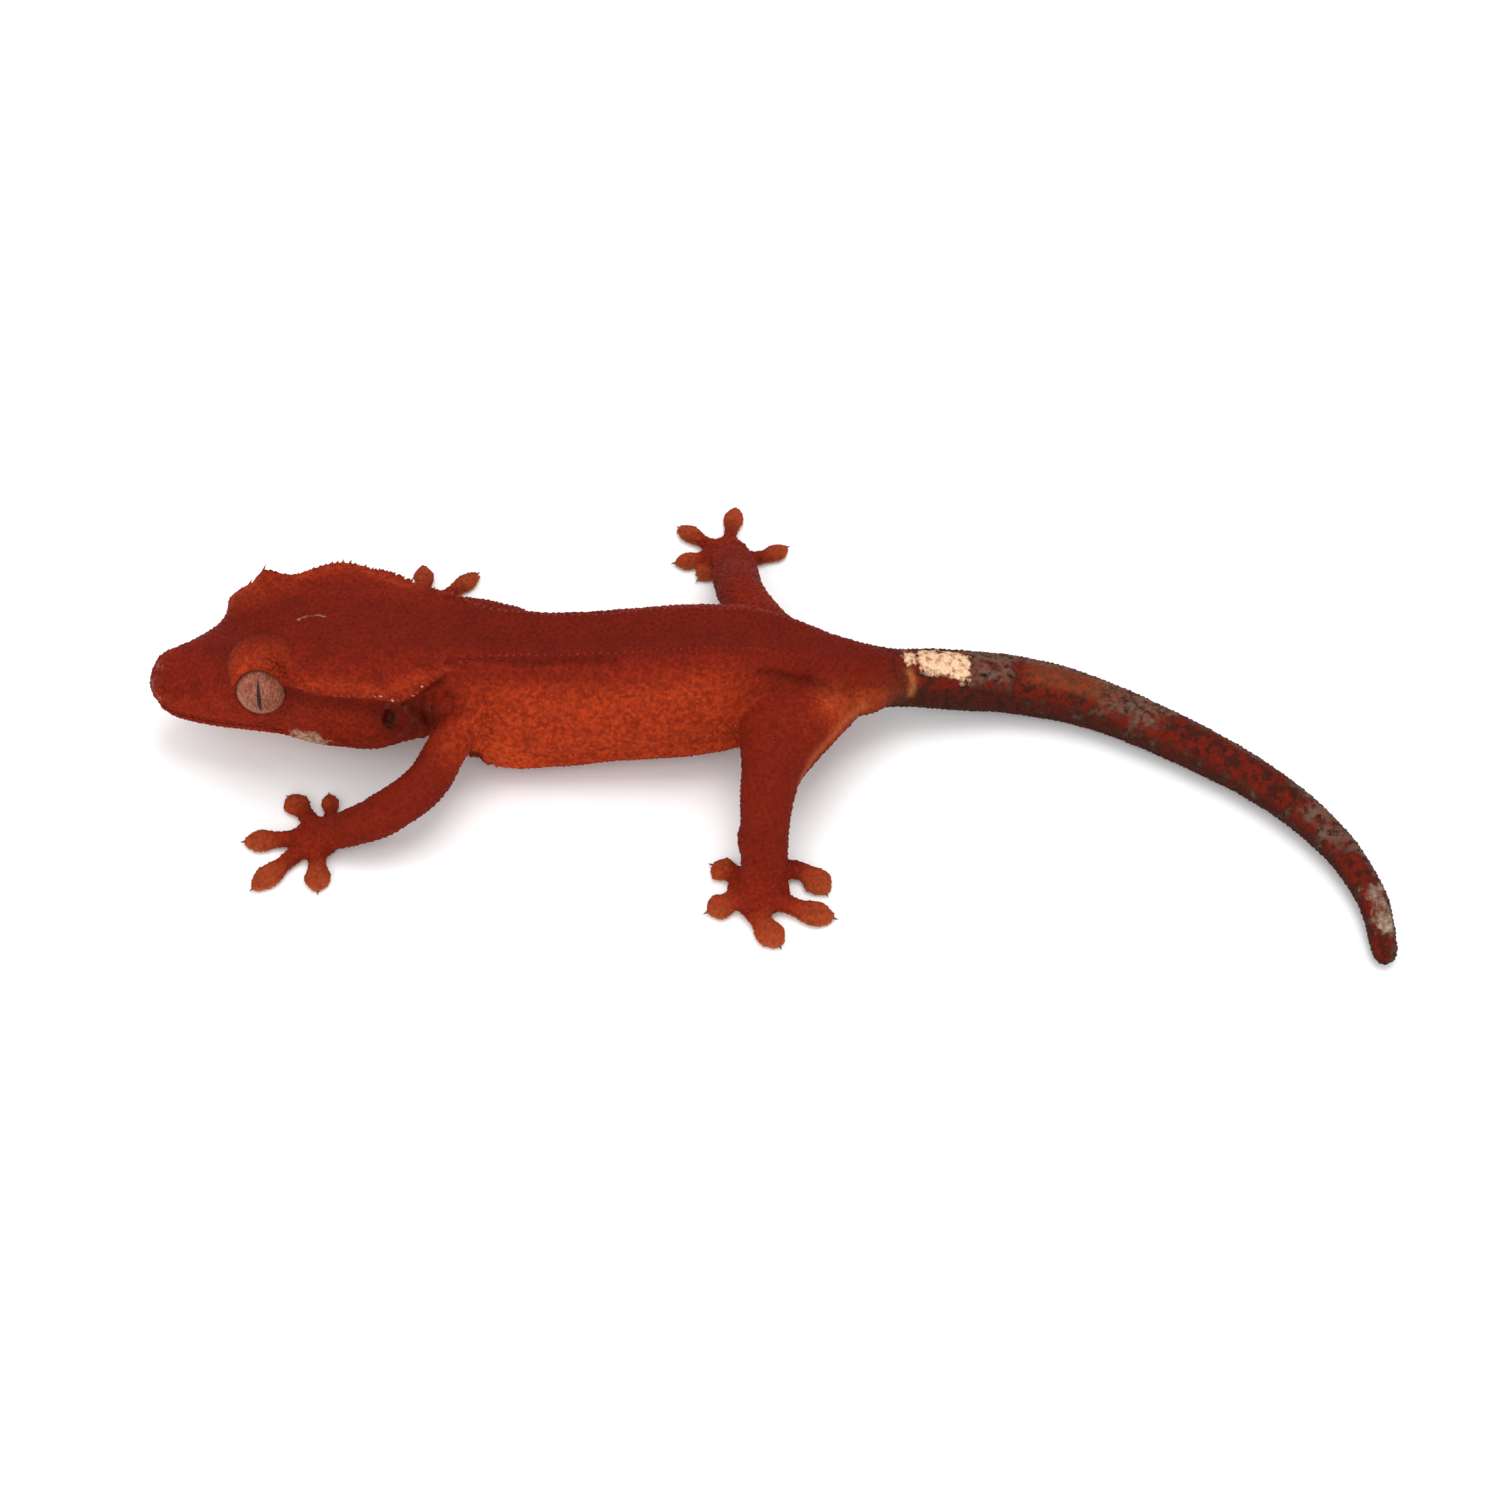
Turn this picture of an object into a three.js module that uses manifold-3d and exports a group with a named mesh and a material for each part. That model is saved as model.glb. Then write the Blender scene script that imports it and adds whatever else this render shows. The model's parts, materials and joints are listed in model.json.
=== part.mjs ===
// Crested gecko, a still, life-size model of a young animal standing low on a flat floor.
// Millimetres, +Z up, the head towards -X and the left side towards -Y.
// The origin is the point of the floor under the middle of the belly, which rests on it.
// The animal is modelled whole, then parted with thin cuts at the places where its parts are named.

import * as THREE from 'three';
import { mergeVertices } from 'three/addons/utils/BufferGeometryUtils.js';
import Module from 'manifold-3d';

const wasm = await Module();
wasm.setup();

// Driving sizes
const SNOUT_X = -53.7;
const SNOUT_ROUNDING = 3.0;
const TAIL_TIP_ROUNDING = 1.5;
const CUT = 0.3;
const EYE = { x: -39.7, y: 5.9, z: 14.5, radius: 3.5, upTilt: 0.36, foreTilt: 0.12 };
const LID = { radius: 3.2, thickness: 0.62, out: 1.6 };
const BROW = { radius: 4.2, inward: 2.0, up: 1.45 };
const SECTION_STEPS = 2;
const LIMB_SIDES = 12;
const TOE_SIDES = 6;

// Half sections of head and body from the snout to the vent, as
// [x, y, turn, top, crest, upper, wide, low, base].
// y is how far the midline lies off the X axis and turn the degrees by which the section faces left.
// top and base are heights on the midline. crest, upper, wide and low are [half width, height] pairs.
const BODY = [
  [-53.7, -0.7, 4, 12, [2, 11.6], [3.1, 10.6], [3.5, 9.1], [2.8, 7], 6.2],
  [-51.6, -0.6, 4, 12.3, [2.1, 11.9], [3.4, 10.8], [3.9, 9.1], [3.3, 6.7], 5.7],
  [-48.5, -0.45, 5, 13.2, [2.6, 12.8], [4.3, 11.4], [5.2, 9.2], [4.4, 6.3], 5],
  [-44.8, -0.25, 5, 15.1, [3.4, 14.7], [5.3, 13.1], [6.4, 9.9], [5.5, 6.4], 4.5],
  [-42.2, -0.1, 6, 17, [5.2, 17.5], [6, 15.5], [6.9, 10.6], [6.2, 6.7], 4.4],
  [-38.7, 0, 6, 18.9, [7, 20], [7, 17.4], [7.5, 11], [6.9, 6.8], 4.2],
  [-34.5, 0.1, 8, 18.5, [9.1, 17.1], [8.3, 15], [8.8, 10.3], [8, 6.1], 4],
  [-28.5, 0.2, 11, 18.1, [10.6, 17.6], [8.7, 14.4], [9.6, 9.2], [8.4, 5.2], 3.6],
  [-24.5, 0.3, 11, 17.9, [10.4, 16.5], [8.4, 13.6], [8.6, 9.4], [7.4, 5.3], 3.2],
  [-19.5, 0.3, 8, 17.7, [7.1, 16.7], [7, 13.4], [7.2, 9], [6, 4.6], 2.6],
  [-16, 0.2, 5, 17.3, [5.2, 17.2], [6.8, 13.4], [7.9, 8.3], [7.1, 2.8], 1.2],
  [-11, 0, 0, 16.6, [3.5, 17.1], [6.9, 12.6], [9.2, 7], [8.3, 2], -0.1],
  [-5, 0, 0, 16.2, [3.2, 16.7], [6.7, 12.6], [9.3, 6.6], [7.9, 1.8], -0.3],
  [3, 0, 0, 16.6, [3.2, 17.1], [6.9, 13.1], [9.2, 7.4], [7.5, 2.5], -0.2],
  [11, 0, 0, 17.5, [3.2, 17.9], [6.8, 14.2], [8.8, 8.5], [7.6, 3.3], 1.4],
  [18, 0, 0, 17.6, [3.1, 17.8], [6.2, 14.8], [7.5, 9.8], [6.7, 4.3], 3],
  [24, 0.2, 0, 15.9, [2.8, 15.9], [5, 13.2], [5.9, 9.4], [4.8, 5.2], 3.4],
  [30, 1, 0, 12.9, [2.2, 12.6], [3.7, 10.9], [4.2, 8.2], [3.3, 5], 3.6],
];

// Centre of the body's midline where it leaves the X axis, and of the tail, as [x, y, height, radius].
const TAIL = [
  [36.5, 2.5, 6.2, 3.6],
  [43.0, 3.3, 4.9, 3.7],
  [49.0, 3.55, 4.0, 3.6],
  [55.0, 2.75, 3.4, 3.4],
  [61.0, 0.7, 3.1, 3.1],
  [66.8, -2.4, 2.9, 2.9],
  [72.5, -6.0, 2.8, 2.75],
  [78.3, -10.3, 2.7, 2.5],
  [83.8, -15.8, 2.6, 2.25],
  [88.5, -22.9, 2.4, 1.95],
  [90.7, -30.0, 2.0, 1.7],
  [91.0, -36.7, 1.45, 1.4],
];

// Ridge spines from behind the eye to the rump, as [x, height, root radius]. Heights fade along the back.
const SPINES = [
  [-37.0, 0.5, 0.4],
  [-33.0, 0.6, 0.42],
  [-28.0, 0.75, 0.46],
  [-18.0, 0.65, 0.44],
  [-4.0, 0.5, 0.4],
  [16.0, 0.4, 0.36],
];
// The mouth's line as [x, height], from the snout to its corner.
const MOUTH = [[-54, 8.2], [-50, 7.9], [-44, 8.1], [-38, 7.9], [-33, 7.2], [-29.5, 7.8]];
const SPINE_PITCH = { head: 1.15, back: 1.45 };
const LASHES = [
  { x: -41.4, length: 0.7 },
  { x: -40.2, length: 1.0 },
  { x: -39.0, length: 1.1 },
  { x: -37.8, length: 0.7 },
];

// Limbs: the joints from root to palm, each as its centre and its radii across and in height.
const LIMBS = {
  arm_left: [
    { at: [-14.2, -4.5, 9], radii: [3.6, 3.6] },
    { at: [-17.2, -10.3, 8.9], radii: [2.45, 2.75] },
    { at: [-19.7, -15.6, 8], radii: [2.65, 2.6] },
    { at: [-24.9, -18.4, 5.5], radii: [2.65, 2.4] },
    { at: [-29.6, -18.6, 3.1], radii: [2.4, 1.9] },
    { at: [-32.6, -18.4, 1.9], radii: [2.1, 1.3] },
  ],
  arm_right: [
    { at: [-13, 4.5, 8.2], radii: [3.4, 3.4] },
    { at: [-11.2, 8.3, 7], radii: [2.6, 2.7] },
    { at: [-10.4, 12.1, 4.5], radii: [2.5, 2.6] },
    { at: [-14.2, 14.2, 3.9], radii: [2.4, 2.4] },
    { at: [-18.8, 16.4, 3], radii: [2.1, 1.8] },
    { at: [-22.2, 18, 1.9], radii: [2, 1.3] },
  ],
  leg_left: [
    { at: [24.4, -3, 8.8], radii: [7.6, 4.2] },
    { at: [22.2, -10.2, 10.2], radii: [5.5, 3.8] },
    { at: [20.6, -17, 10.3], radii: [3.4, 3.3] },
    { at: [20, -21.2, 7.2], radii: [2.9, 2.9] },
    { at: [19.9, -23.8, 3.6], radii: [2.75, 2.4] },
    { at: [19.5, -25.4, 2], radii: [2.4, 1.5] },
  ],
  leg_right: [
    { at: [21.1, 3.5, 10.2], radii: [4.2, 4.2] },
    { at: [18.7, 9.8, 9], radii: [3.4, 3.4] },
    { at: [17.2, 15, 7.8], radii: [2.9, 3] },
    { at: [16.7, 19.6, 5.6], radii: [2.8, 2.7] },
    { at: [16.3, 24, 3.4], radii: [2.6, 2.3] },
    { at: [15.4, 27, 2], radii: [2.4, 1.5] },
  ],
};

// Hands and feet: centre and half spans of the palm, how broad the toes are, and each toe, first to fifth.
// A toe leaves from the palm's centre unless it has a root of its own, bend is how far it bows sideways,
// and slim narrows a toe that stands on its edge.
const FEET = {
  hand_left: {
    palm: [-33.0, -18.3],
    span: [3.0, 2.9],
    broad: 1,
    toes: [
      { tip: [-32.3, -11.0], root: [-31.6, -17.4], bend: -0.2, slim: 0.7 },
      { tip: [-37.3, -11.4], root: [-33.2, -17.2], bend: -0.3 },
      { tip: [-42.0, -18.4] },
      { tip: [-40.2, -25.7] },
      { tip: [-32.2, -26.0] },
    ],
  },
  hand_right: {
    palm: [-22.6, 18.3],
    span: [3.0, 2.7],
    broad: 0.82,
    toes: [
      { tip: [-26.4, 13.2] },
      { tip: [-29.6, 15.8] },
      { tip: [-29.6, 20.4] },
      { tip: [-23.8, 26.9] },
      { tip: [-16.4, 25.6] },
    ],
  },
  foot_left: {
    palm: [19.3, -26.1],
    span: [3.8, 3.6],
    broad: 1.12,
    toes: [
      { tip: [13.7, -21.8], root: [18.6, -24.8] },
      { tip: [13.1, -28.9] },
      { tip: [21.9, -34.0], root: [17, -26.5] },
      { tip: [28.5, -29.8], bend: -0.5 },
      { tip: [27.4, -26.5], root: [20.4, -23.4], bend: 1.9 },
    ],
  },
  foot_right: {
    palm: [15.2, 28.0],
    span: [3.2, 3.0],
    broad: 0.85,
    toes: [
      { tip: [11.6, 24.2] },
      { tip: [8.4, 27.2] },
      { tip: [8.8, 33.8] },
      { tip: [16.5, 37.4] },
      { tip: [23.3, 30.2], root: [16.4, 27.0], bend: -0.6 },
    ],
  },
};
// Along a toe, from the palm to the claw: share of its reach, half width, and height.
const TOE = [
  [0.05, 1.3, 2.4],
  [0.3, 1.12, 1.95],
  [0.5, 1.05, 1.6],
  [0.64, 1.55, 1.4],
  [0.76, 1.75, 1.25],
  [0.88, 1.2, 1.1],
  [0.96, 0.6, 0.85],
];
const CLAW = { length: 0.9, radius: 0.36 };

// A smooth curve through values given at rising places, with no overshoot.
function along(places, values, at) {
  const last = places.length - 1;
  if (at <= places[0]) return values[0];
  if (at >= places[last]) return values[last];
  let i = 0;
  while (at > places[i + 1]) i += 1;
  const rise = (k) => (values[k + 1] - values[k]) / (places[k + 1] - places[k]);
  const slope = (k) => {
    if (k === 0) return rise(0);
    if (k === last) return rise(last - 1);
    const before = rise(k - 1);
    const after = rise(k);
    return before * after <= 0 ? 0 : (2 * before * after) / (before + after);
  };
  const h = places[i + 1] - places[i];
  const t = (at - places[i]) / h;
  const a = values[i] * (1 + 2 * t) * (1 - t) ** 2;
  const b = slope(i) * h * t * (1 - t) ** 2;
  const c = values[i + 1] * t * t * (3 - 2 * t);
  const d = slope(i + 1) * h * t * t * (t - 1);
  return a + b + c + d;
}

// A closed mesh through rings of points, pointed or flat at both ends.
function loft(rings) {
  const sides = rings[0].length;
  const position = [];
  const index = [];
  const middle = (ring) => ring.reduce((sum, p) => sum.add(p), new THREE.Vector3()).divideScalar(sides);
  for (const ring of rings) for (const p of ring) position.push(p.x, p.y, p.z);
  for (const end of [rings[0], rings.at(-1)]) position.push(...middle(end).toArray());
  const first = rings.length * sides;
  for (let r = 0; r < rings.length - 1; r += 1) {
    for (let k = 0; k < sides; k += 1) {
      const next = (k + 1) % sides;
      const [a, b, c, d] = [r * sides + k, r * sides + next, (r + 1) * sides + k, (r + 1) * sides + next];
      index.push(a, b, d, a, d, c);
    }
  }
  for (let k = 0; k < sides; k += 1) {
    const next = (k + 1) % sides;
    index.push(first, next, k);
    index.push(first + 1, (rings.length - 1) * sides + k, (rings.length - 1) * sides + next);
  }
  const geometry = new THREE.BufferGeometry();
  geometry.setAttribute('position', new THREE.Float32BufferAttribute(position, 3));
  geometry.setIndex(index);
  return geometry;
}

// A solid from a closed geometry, turned to face outwards.
function solid(geometry) {
  const bare = geometry.clone();
  for (const name of ['normal', 'uv']) bare.deleteAttribute(name);
  const merged = mergeVertices(bare, 1e-4);
  const corners = merged.index.array;
  const triangles = [];
  for (let i = 0; i < corners.length; i += 3) {
    const [a, b, c] = [corners[i], corners[i + 1], corners[i + 2]];
    if (a !== b && b !== c && c !== a) triangles.push(a, b, c);
  }
  const vertProperties = new Float32Array(merged.attributes.position.array);
  const build = (list) => {
    const mesh = new wasm.Mesh({ numProp: 3, vertProperties, triVerts: new Uint32Array(list) });
    return new wasm.Manifold(mesh);
  };
  const made = build(triangles);
  return made.volume() > 0 ? made : build(triangles.reverse());
}

// Sections of head, body and tail, placed by the distance along the plan of the midline.
function tubeSection([, , height, radius]) {
  return {
    top: height + radius,
    crest: [0.62 * radius, height + 0.78 * radius],
    upper: [0.92 * radius, height + 0.4 * radius],
    wide: [0.99 * radius, height - 0.12 * radius],
    low: [0.7 * radius, height - 0.71 * radius],
    base: height - radius,
  };
}
function bodySection([x, y, turn, top, crest, upper, wide, low, base]) {
  return { x, y, turn, top, crest, upper, wide, low, base };
}
const STATIONS = [
  ...BODY.map(bodySection),
  ...TAIL.map((t) => ({ ...tubeSection(t), x: t[0], y: t[1], turn: 0 })),
];
STATIONS[0].s = 0;
for (let i = 1; i < STATIONS.length; i += 1) {
  const [a, b] = [STATIONS[i - 1], STATIONS[i]];
  b.s = a.s + Math.hypot(b.x - a.x, b.y - a.y);
}
const PLACES = STATIONS.map((s) => s.s);
const TRUNK_LENGTH = PLACES.at(-1);
const sizeAt = (pick, s) => along(PLACES, STATIONS.map(pick), s);

// Where the midline runs at distance s: its point on the floor plan and its direction to the right.
function midline(s) {
  const point = (at) => new THREE.Vector3(sizeAt((p) => p.x, at), sizeAt((p) => p.y, at), 0);
  const step = 0.4;
  const ahead = point(Math.min(s + step, TRUNK_LENGTH)).sub(point(Math.max(s - step, 0))).normalize();
  const side = new THREE.Vector3(-ahead.y, ahead.x, 0);
  side.applyAxisAngle(new THREE.Vector3(0, 0, 1), (sizeAt((p) => p.turn, s) * Math.PI) / 180);
  return { point: point(s), side };
}

// How much the ends are drawn in, so that snout and tail tip close in a round.
function rounding(s) {
  const share = (distance, length) => {
    const t = Math.min(1, distance / length);
    return Math.sqrt(Math.max(0, 1 - (1 - t) ** 2));
  };
  return share(s, SNOUT_ROUNDING) * share(TRUNK_LENGTH - s, TAIL_TIP_ROUNDING);
}

// The half section's control points at distance s, from the top round to the base, drawn in at the ends.
function halfSection(s) {
  const shrink = rounding(s);
  const centre = sizeAt((p) => p.wide[1], s);
  const names = ['crest', 'upper', 'wide', 'low'];
  const points = names.map((n) => [sizeAt((p) => p[n][0], s), sizeAt((p) => p[n][1], s)]);
  points.unshift([0, sizeAt((p) => p.top, s)]);
  points.push([0, sizeAt((p) => p.base, s)]);
  return points.map(([y, z]) => [y * shrink, centre + (z - centre) * shrink]);
}

// The ring of surface points at distance s.
function trunkRing(s) {
  const half = halfSection(s);
  const mirrored = half.slice(1, -1).reverse().map(([y, z]) => [-y, z]);
  const { point, side } = midline(s);
  const place = ([y, z]) => point.clone().addScaledVector(side, y).setZ(z);
  const outline = new THREE.CatmullRomCurve3([...half, ...mirrored].map(place), true, 'centripetal');
  const count = SECTION_STEPS * (half.length + mirrored.length);
  return Array.from({ length: count }, (_, k) => outline.getPoint(k / count));
}

// Distances of the rings: close together at the rounded ends, finer on the head than on the tail.
function ringPlaces() {
  const places = [];
  const turns = [18, 36, 54, 72];
  for (const t of turns) places.push(SNOUT_ROUNDING * (1 - Math.cos((t * Math.PI) / 180)));
  let s = SNOUT_ROUNDING;
  while (s < TRUNK_LENGTH - TAIL_TIP_ROUNDING) {
    places.push(s);
    const x = sizeAt((p) => p.x, s);
    s += x < -19 ? 1.3 : x < 31 ? 2.6 : 3.2;
  }
  for (const t of [...turns].reverse()) {
    places.push(TRUNK_LENGTH - TAIL_TIP_ROUNDING * (1 - Math.cos((t * Math.PI) / 180)));
  }
  return places;
}

// Distance along the body for an x on its straight part.
const distanceOf = (x) => x - SNOUT_X;

// A point of head or body from its x, its distance to the right of the midline and its height.
function bodyPoint(x, right, height) {
  const { point, side } = midline(distanceOf(x));
  return point.addScaledVector(side, right).setZ(height);
}

// The half width of the skin at a height on the body's side.
function sideAt(x, z) {
  const half = halfSection(distanceOf(x));
  return along(half.map((p) => -p[1]), half.map((p) => p[0]), -z);
}

// A cone that stands on a point and leans along a direction, its root sunk in.
function spike(root, direction, length, radius, sides = 5) {
  const sunk = 0.5;
  const cone = new THREE.ConeGeometry(radius, length + sunk, sides, 1);
  cone.translate(0, (length + sunk) / 2 - sunk, 0);
  const upright = new THREE.Vector3(0, 1, 0);
  const aim = new THREE.Quaternion().setFromUnitVectors(upright, direction.clone().normalize());
  cone.applyQuaternion(aim);
  cone.translate(root.x, root.y, root.z);
  return solid(cone);
}

// Spines along both ridges, and longer lash spines over each eye.
function ridgeSpines() {
  const made = [];
  const xs = SPINES.map((p) => p[0]);
  for (const flip of [-1, 1]) {
    const root = (x) => {
      const [, crest] = halfSection(distanceOf(x));
      return bodyPoint(x, flip * crest[0], crest[1]);
    };
    const sideways = bodyPoint(-30, flip, 0).sub(bodyPoint(-30, 0, 0));
    const lean = (back, out, up) => new THREE.Vector3(back, 0, up).addScaledVector(sideways, out);
    for (let x = xs[0]; x < xs.at(-1); ) {
      const onHead = x < -19;
      const height = along(xs, SPINES.map((p) => p[1]), x);
      const radius = along(xs, SPINES.map((p) => p[2]), x);
      made.push(spike(root(x), onHead ? lean(0.35, 0.9, 0.5) : lean(0.35, 0.5, 1), height, radius));
      x += onHead ? SPINE_PITCH.head : SPINE_PITCH.back;
    }
    for (const { x, length } of LASHES) {
      made.push(spike(root(x).add(new THREE.Vector3(0, 0, -0.3)), lean(0.3, 1, 0.3), length, 0.45));
    }
  }
  return made;
}

// The eyes' centres, and the directions that they look in.
function eyeFrame(flip) {
  const centre = bodyPoint(EYE.x, flip * EYE.y, EYE.z);
  const outward = bodyPoint(EYE.x, flip, 0).sub(bodyPoint(EYE.x, 0, 0));
  const gaze = outward.add(new THREE.Vector3(-EYE.foreTilt, 0, EYE.upTilt)).normalize();
  return { centre, gaze };
}

// The raised rim round each eye, and the swollen brow above it.
function lids() {
  return [-1, 1].flatMap((flip) => {
    const { centre, gaze } = eyeFrame(flip);
    const ring = new THREE.TorusGeometry(LID.radius, LID.thickness, 5, 18);
    ring.applyQuaternion(new THREE.Quaternion().setFromUnitVectors(new THREE.Vector3(0, 0, 1), gaze));
    const place = centre.clone().addScaledVector(gaze, LID.out);
    ring.translate(place.x, place.y, place.z);
    const brow = centre.clone().addScaledVector(gaze, -BROW.inward);
    brow.z += BROW.up;
    return [solid(ring), egg(brow.toArray(), Array(3).fill(BROW.radius), 16)];
  });
}

// A groove round the snout from one corner of the mouth to the other.
function mouthGroove() {
  const depth = 0.5;
  const gape = 0.4;
  const front = -52.6;
  const level = (x) => along(MOUTH.map((m) => m[0]), MOUTH.map((m) => m[1]), x);
  const xs = [];
  for (let x = -29.5; x > front + 0.7; x -= 1.9) xs.push(x);
  xs.push(front);
  const corners = (x, inner, outer, ahead = 0) => [
    bodyPoint(x, inner, level(x) - gape / 2),
    bodyPoint(x - ahead, outer, level(x) - gape / 2),
    bodyPoint(x - ahead, outer, level(x) + gape / 2),
    bodyPoint(x, inner, level(x) + gape / 2),
  ];
  const ring = (x, flip) => {
    const side = sideAt(x, level(x));
    return corners(x, flip * (side - (x > -30 ? 0.1 : depth)), flip * (side + 1), x === front ? 1.2 : 0);
  };
  const nose = corners(SNOUT_X + depth, 0, 0).map((p, k) => (k === 1 || k === 2 ? p.setX(SNOUT_X - 1.4) : p));
  const rings = [...xs.map((x) => ring(x, -1)), nose, ...[...xs].reverse().map((x) => ring(x, 1))];
  return solid(loft(rings));
}

// An egg-shaped hollow or swelling.
function egg(centre, radii, sides = 14) {
  const ball = new THREE.SphereGeometry(1, sides, Math.round(sides * 0.6));
  ball.scale(...radii);
  ball.translate(...centre);
  return solid(ball);
}

// A limb along a curve through its joints, oval across.
function limb(joints) {
  const centres = joints.map((j) => new THREE.Vector3(...j.at));
  const curve = new THREE.CatmullRomCurve3(centres, false, 'centripetal');
  const steps = 14;
  const knots = joints.map((_, i) => i / (joints.length - 1));
  const rings = [];
  for (let i = 0; i <= steps; i += 1) {
    const t = i / steps;
    const centre = curve.getPoint(t);
    const forward = curve.getTangent(t);
    const across = new THREE.Vector3(0, 0, 1).cross(forward).normalize();
    const upward = forward.clone().cross(across);
    const wide = along(knots, joints.map((j) => j.radii[0]), t);
    const high = along(knots, joints.map((j) => j.radii[1]), t);
    rings.push(Array.from({ length: LIMB_SIDES }, (_, k) => {
      const turn = (2 * Math.PI * k) / LIMB_SIDES;
      return centre.clone().addScaledVector(across, wide * Math.cos(turn))
        .addScaledVector(upward, high * Math.sin(turn));
    }));
  }
  return { curve, solid: solid(loft(rings)) };
}

// A toe with its broad sticky pad and claw, flat on the floor.
function toe(palm, broad, { tip, root = palm, bend = 0, slim = 1 }) {
  const start = new THREE.Vector3(...root, 0);
  const way = new THREE.Vector3(...tip, 0).sub(start);
  const across = new THREE.Vector3(-way.y, way.x, 0).normalize();
  const centreAt = (share) => start.clone().addScaledVector(way, share)
    .addScaledVector(across, bend * Math.sin(Math.PI * share));
  const headingAt = (share) => centreAt(share + 0.02).sub(centreAt(share - 0.02)).normalize();
  const rings = TOE.map(([share, half, height]) => {
    const line = headingAt(share);
    const side = new THREE.Vector3(-line.y, line.x, 0);
    return Array.from({ length: TOE_SIDES }, (_, k) => {
      const angle = (2 * Math.PI * k) / TOE_SIDES;
      const lift = (height / 2) * (1 + Math.sin(angle) / Math.sin(Math.PI / 3));
      const reach = slim * broad * half * Math.cos(angle);
      return centreAt(share).addScaledVector(side, reach).setZ(Math.max(0, lift));
    });
  });
  return [solid(loft(rings)), spike(centreAt(0.9).setZ(0.5), headingAt(0.95), CLAW.length, CLAW.radius)];
}

const join = (pieces) => wasm.Manifold.union(pieces);

// The whole animal
const limbs = Object.fromEntries(Object.entries(LIMBS).map(([name, sizes]) => [name, limb(sizes)]));
const palms = Object.values(FEET).map(({ palm, span }) => egg([...palm, 1.05], [...span, 1.55], 10));
const toes = Object.values(FEET).flatMap((f) => f.toes.flatMap((t) => toe(f.palm, f.broad, t)));
const trunk = solid(loft(ringPlaces().map(trunkRing)));
const below = new THREE.BoxGeometry(300, 200, 20).translate(20, 0, -10);
const bare = join([trunk, ...Object.values(limbs).map((l) => l.solid), ...palms]).subtract(solid(below));
const flesh = join([bare, ...toes, ...ridgeSpines(), ...lids()]);

const socket = (flip) => egg(eyeFrame(flip).centre.toArray(), Array(3).fill(EYE.radius + CUT), 16);
const ear = (flip) => egg(bodyPoint(-26.2, flip * 8.9, 11.2).toArray(), [0.75, 1.5, 1.35], 10);
const nostril = (flip) => egg(bodyPoint(-52.0, flip * 2.9, 10.7).toArray(), [0.5, 0.8, 0.42], 8);
const hollows = join([-1, 1].flatMap((flip) => [socket(flip), ear(flip), nostril(flip)]));
const body = flesh.subtract(hollows).subtract(mouthGroove());

// Thin cuts that part the body, each a plate across the part at a point on its axis
function plate(centre, normal, width, height) {
  const box = new THREE.BoxGeometry(CUT, width, height);
  box.applyQuaternion(new THREE.Quaternion().setFromUnitVectors(new THREE.Vector3(1, 0, 0), normal));
  box.translate(centre.x, centre.y, centre.z);
  return solid(box);
}
function trunkCut(s, width) {
  const { point, side } = midline(s);
  const normal = new THREE.Vector3(side.y, -side.x, 0);
  return plate(point.clone().setZ(10), normal, width, 24);
}
const tailDistance = (i) => PLACES[BODY.length + i];
const CUTS = { root: 0.27, middle: 0.5, wrist: 0.84, ankle: 0.7 };
const limbCut = (name, share, width) => {
  const { curve } = limbs[name];
  return plate(curve.getPoint(share), curve.getTangent(share), width, width);
};
const cuts = [
  trunkCut(distanceOf(-22.8), 26),
  trunkCut(distanceOf(-19.3), 18),
  trunkCut(distanceOf(32.6), 14),
  trunkCut(tailDistance(3), 12),
  trunkCut(tailDistance(7), 12),
];
for (const name of Object.keys(LIMBS)) {
  if (name !== 'arm_right') cuts.push(limbCut(name, CUTS.root, name === 'arm_left' ? 9 : 16));
  const end = name.startsWith('leg') ? CUTS.ankle : CUTS.wrist;
  cuts.push(limbCut(name, CUTS.middle, 8.6), limbCut(name, end, 7.0));
}
// The far arm leaves close along the flank, so its root is parted in the plane of the flank
cuts.push(plate(new THREE.Vector3(-11.2, 9.55, 6), new THREE.Vector3(0, 1, 0), 14, 14));
const scraps = body.subtract(join(cuts)).decompose();

// Each named part is the piece that holds its own inner point
const floorPoint = ([x, y]) => new THREE.Vector3(x, y, 1);
const onLimb = (name, share) => limbs[name].curve.getPoint(share);
const inTail = (s) => midline(s).point.setZ(sizeAt((p) => p.wide[1], s));
const INNER = {
  head: new THREE.Vector3(-30, 0, 11),
  neck: new THREE.Vector3(-21, 0, 10),
  torso: new THREE.Vector3(0, 0, 8),
  tail_base: inTail(tailDistance(1)),
  tail_middle: inTail(tailDistance(5)),
  tail_tip: inTail(tailDistance(9)),
};
for (const side of ['left', 'right']) {
  INNER[`upper_arm_${side}`] = onLimb(`arm_${side}`, 0.36);
  INNER[`forearm_${side}`] = onLimb(`arm_${side}`, 0.65);
  INNER[`hand_${side}`] = floorPoint(FEET[`hand_${side}`].palm);
  INNER[`thigh_${side}`] = onLimb(`leg_${side}`, 0.36);
  INNER[`shank_${side}`] = onLimb(`leg_${side}`, 0.6);
  INNER[`foot_${side}`] = floorPoint(FEET[`foot_${side}`].palm);
}

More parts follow.
